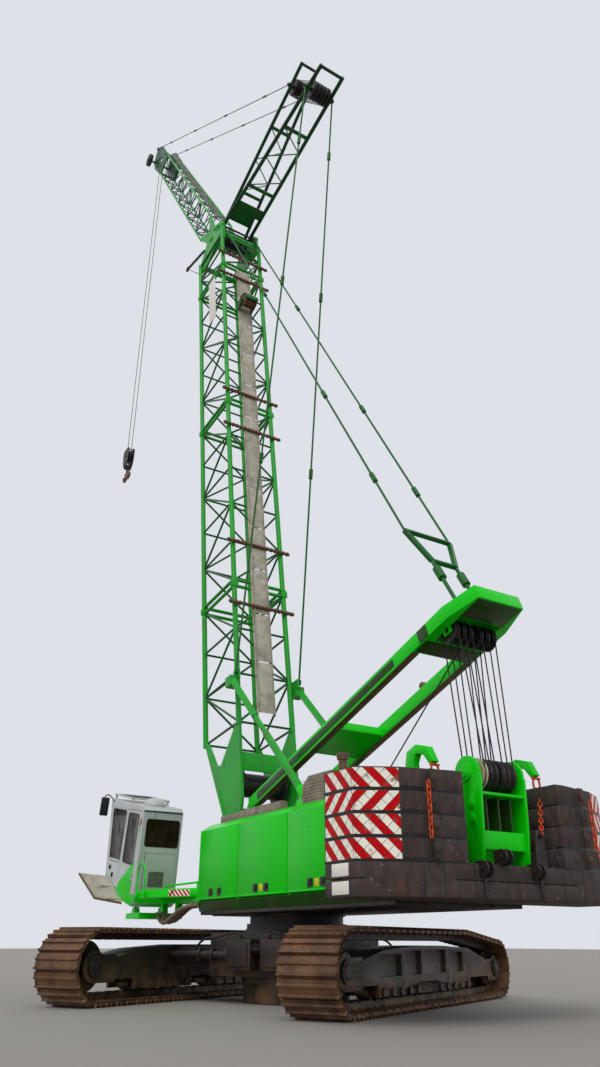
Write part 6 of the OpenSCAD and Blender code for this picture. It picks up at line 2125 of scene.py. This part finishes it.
@dataclass
class BallastDressing(Assembly):
    """Lugs, chains, bosses, blank plates and dark bands of the counterweight and its hooks."""

    rear: float = -5.83
    half: float = 2.46
    pitch: float = 0.3

    def chain(self, a: Point, b: Point, sag: float) -> list[Piece]:
        """A hanging chain of links between two points.

        Args:
            a: Where it starts.
            b: Where it ends.
            sag: Sag of its middle.

        Returns:
            The links.
        """
        length, width, wire = 0.12, 0.075, 0.02
        start, end = Vector(a), Vector(b)
        count = max(2, round((end - start).length * (1 + sag) / (length - 2 * wire)))
        spots = []
        for share in (i / count for i in range(count + 1)):
            spots.append(start.lerp(end, share) - Vector((0, 0, 4 * sag * share * (1 - share))))
        places = [along((p + q) / 2, q) @ turned("Z", 90 * (i % 2))
                  for i, (p, q) in enumerate(zip(spots, spots[1:]))]
        return Bench.copies(Bench.link(length, width, wire), places)

    def shackle(self, where: Point) -> list[Piece]:
        """A bow shackle hung below a point."""
        x, y, z = where
        bow = [(x, y - 0.05, z), (x, y - 0.07, z - 0.09), (x, y - 0.04, z - 0.16), (x, y + 0.04, z - 0.16),
               (x, y + 0.07, z - 0.09), (x, y + 0.05, z)]
        return [Bench.pipe(bow, 0.017), Bench.place(Bench.round_bar(0.02, 0.17, 12), across(x, y - 0.085, z))]

    def lug(self, y: float, z: float) -> Piece:
        """A clevis lug on the rear edge, with its pin."""
        outline = [(0.12, -0.09), (0.12, 0.09), (-0.03, 0.11), (-0.12, 0.075), (-0.15, 0), (-0.12, -0.075),
                   (-0.03, -0.11)]
        cheek = Bench.plate(outline, 0.025, 0.005)
        made = Bench.copies(cheek, [upright(y + d, 0.025) @ shift(self.rear - 0.03, z, 0) for d in (-0.05, 0.05)])
        pin = Bench.place(Bench.round_bar(0.025, 0.17, 14), across(self.rear - 0.06, y - 0.085, z))
        return Bench.join([*made, pin])

    def tall_lug(self) -> Piece:
        """A tall upright lug on the base, round at the top, with a pin through it."""
        outline = [(-0.12, 0), (0.12, 0), (0.09, 0.4), (0.06, 0.5), (0, 0.54), (-0.06, 0.5), (-0.09, 0.4)]
        plate = Bench.plate(outline, 0.06, 0.008)
        plate = Bench.place(plate, shift(self.rear + 0.13, -0.62, 1.925) @ turned("Z") @ turned("X"))
        pin = Bench.place(Bench.round_bar(0.03, 0.16, 16), shift(self.rear + 0.06, -0.62, 2.365) @ turned("Y"))
        return Bench.join([plate, pin])

    def build(self) -> None:
        """Model and dress the counterweight's fittings."""
        x = self.rear
        lugs = [self.lug(y, z) for y, z in ((0.33, 2.02), (0.7, 1.86), (-0.28, 1.86))]
        ribs = [Bench.bar((x - 0.02, y - 0.03, 1.5), (x + 0.01, y + 0.03, 1.9), 0.006) for y in (0.68, -0.39)]
        self.fit([*lugs, self.tall_lug(), *ribs], "ballast_lugs", Finish.UNDERCARRIAGE)
        boss = Bench.lathe([(0, 0), (0.055, 0), (0.06, 0.01), (0.06, 0.03), (0.04, 0.04), (0, 0.04)], 20)
        rows = [(y, self.pitch * i) for i in range(4) for y in (1.47, -1.47)]
        made = Bench.copies(boss, [shift(x + 0.012, y, 2.07 + rise) @ turned("Y", -90) for y, rise in rows])
        made += [Bench.bar((x - 0.008, y - 0.06, 1.94 + rise), (x + 0.01, y + 0.06, 2.2 + rise), 0.004)
                 for y, rise in rows]
        self.fit(made, "ballast_bosses", Finish.CHAIN_STEEL, slot="dark_steel")
        blanks, y = [], self.half
        for low in (1.52, 1.74):
            blanks += both_sides(Bench.bar((-5.2, y - 0.002, low), (-4.82, y + 0.008, low + 0.16), 0.003))
        self.fit(blanks, "ballast_blank_plates", Finish.PLATE_WHITE)
        hooks = [*self.shackle((-5.38, -1.03, 3.27)), *self.shackle((-5.38, 1.03, 3.27))]
        for y in (1.6, -1.6):
            hooks += self.chain((x - 0.05, y, 2.92), (x - 0.05, y, 2.2), 0.0)
        hooks += self.chain((x + 0.1, -0.62, 2.36), (-5.42, -1.03, 3.1), 0.04)
        self.fit(hooks, "orange_chains", Finish.ORANGE)


# Stage


@dataclass
class Stage:
    """Camera at floor level, pale floor and sky, and soft overcast light."""

    eye: Point = (-14.5816, 9.1134, 0.9709)
    azimuth: float = -32.122
    pitch: float = 26.449
    roll: float = 0.215
    focal_pixels: float = 821.2
    picture_height: float = 1067
    sensor: float = 36
    sky: Colour = tone(222, 225, 232)
    floor_tone: Colour = tone(150, 144, 136)

    def camera(self) -> None:
        """Set the camera up as the photograph's was solved."""
        azimuth, pitch, roll = (math.radians(v) for v in (self.azimuth, self.pitch, self.roll))
        ahead = Vector((math.cos(azimuth) * math.cos(pitch), math.sin(azimuth) * math.cos(pitch), math.sin(pitch)))
        right = Vector((math.sin(azimuth), -math.cos(azimuth), 0))
        up = right.cross(ahead)
        leaned_right = right * math.cos(roll) + up * math.sin(roll)
        leaned_up = up * math.cos(roll) - right * math.sin(roll)
        Bench.clear()
        bpy.ops.object.camera_add(location=self.eye)
        camera = bpy.context.object
        camera.rotation_euler = Matrix((leaned_right, leaned_up, -ahead)).transposed().to_euler()
        camera.data.sensor_fit = "VERTICAL"
        camera.data.sensor_height = self.sensor
        camera.data.lens = self.focal_pixels / self.picture_height * self.sensor
        camera.data.clip_end = 500
        bpy.context.scene.camera = camera

    def floor(self, low: float) -> None:
        """A wide pale floor under the tracks."""
        Bench.clear()
        bpy.ops.mesh.primitive_plane_add(size=240, location=(0, 0, low))
        floor = bpy.context.object
        floor.name = "floor"
        sheet = Sheet("pale_floor")
        patches = sheet.band(sheet.noise(sheet.vector(), 1.4, 5), 0.3, 0.7)
        sheet.wire(sheet.mix(patches, self.floor_tone, tuple(0.97 * c for c in self.floor_tone)), "Base Color")
        sheet.set("Roughness", 0.9)
        floor.data.materials.append(sheet.material)
        floor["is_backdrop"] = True

    def light(self) -> None:
        """Overcast light: an even world, a little brighter where it is seen, and one wide soft sun."""
        world = bpy.data.worlds.new("overcast")
        bpy.context.scene.world = world
        world.use_nodes = True
        nodes, links = world.node_tree.nodes, world.node_tree.links
        pick = nodes.new("ShaderNodeMixShader")
        backs = ((nodes["Background"], 0.85), (nodes.new("ShaderNodeBackground"), 1.0))
        for i, (back, strength) in enumerate(backs):
            back.inputs["Color"].default_value = (*self.sky, 1)
            back.inputs["Strength"].default_value = strength
            links.new(back.outputs[0], pick.inputs[i + 1])
        rays = nodes.new("ShaderNodeLightPath").outputs
        seen = rays["Is Camera Ray"]
        for kind in ("Is Glossy Ray", "Is Transmission Ray"):
            most = nodes.new("ShaderNodeMath")
            most.operation = "MAXIMUM"
            links.new(seen, most.inputs[0])
            links.new(rays[kind], most.inputs[1])
            seen = most.outputs[0]
        links.new(seen, pick.inputs[0])
        links.new(pick.outputs[0], nodes["World Output"].inputs["Surface"])
        Bench.clear()
        lean = (math.radians(-28), math.radians(-30), 0)
        bpy.ops.object.light_add(type="SUN", location=(-10, 20, 40), rotation=lean)
        sun = bpy.context.object
        sun.data.energy = 1.3
        sun.data.angle = math.radians(40)

    def build(self, low: float) -> None:
        """Set the stage."""
        self.camera()
        self.floor(low)
        self.light()
        bpy.context.scene.view_settings.view_transform = "Standard"


def corners(box: Sequence[Sequence[float]]) -> list[list[float]]:
    """A box as plain lists of numbers."""
    return [[float(value) for value in corner] for corner in box]


def main() -> None:
    """Build the looks round the frame and report each piece."""
    logging.basicConfig(level=logging.INFO, format="%(message)s")
    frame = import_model()
    cad_box = corners(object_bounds())
    Stage().build(cad_box[0][2])
    CadFinishes(frame).build()
    Crawlers("undercarriage", frame).build()
    WheelDressing("undercarriage", frame).build()
    Bodywork("upper", frame).build()
    HousingDressing("upper", frame).build()
    Cab("cab", frame).build()
    Counterweight("upper", frame).build()
    BallastDressing("upper", frame).build()
    Boom("boom", frame).build()
    BoomDressing("boom", frame).build()
    Jib("jib", frame).build()
    JibDressing("jib", frame).build()
    Strut("boom", frame, REAR_STRUT, "rear_strut_frame", 0.535, REAR_HALF, 0.12).build()
    Strut("jib", frame, FRONT_STRUT, "front_strut_frame", 0.465, FRONT_HALF, 0.11).build()
    JibTackle("boom", frame).build()
    Mast("mast", frame).build()
    Hook("hook_block", frame).build()
    Bench.clear()
    {"cad": cad_box, "visual": corners(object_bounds())}
    log.info("all sub-assemblies are in place")


if __name__ == "__main__":
    main()
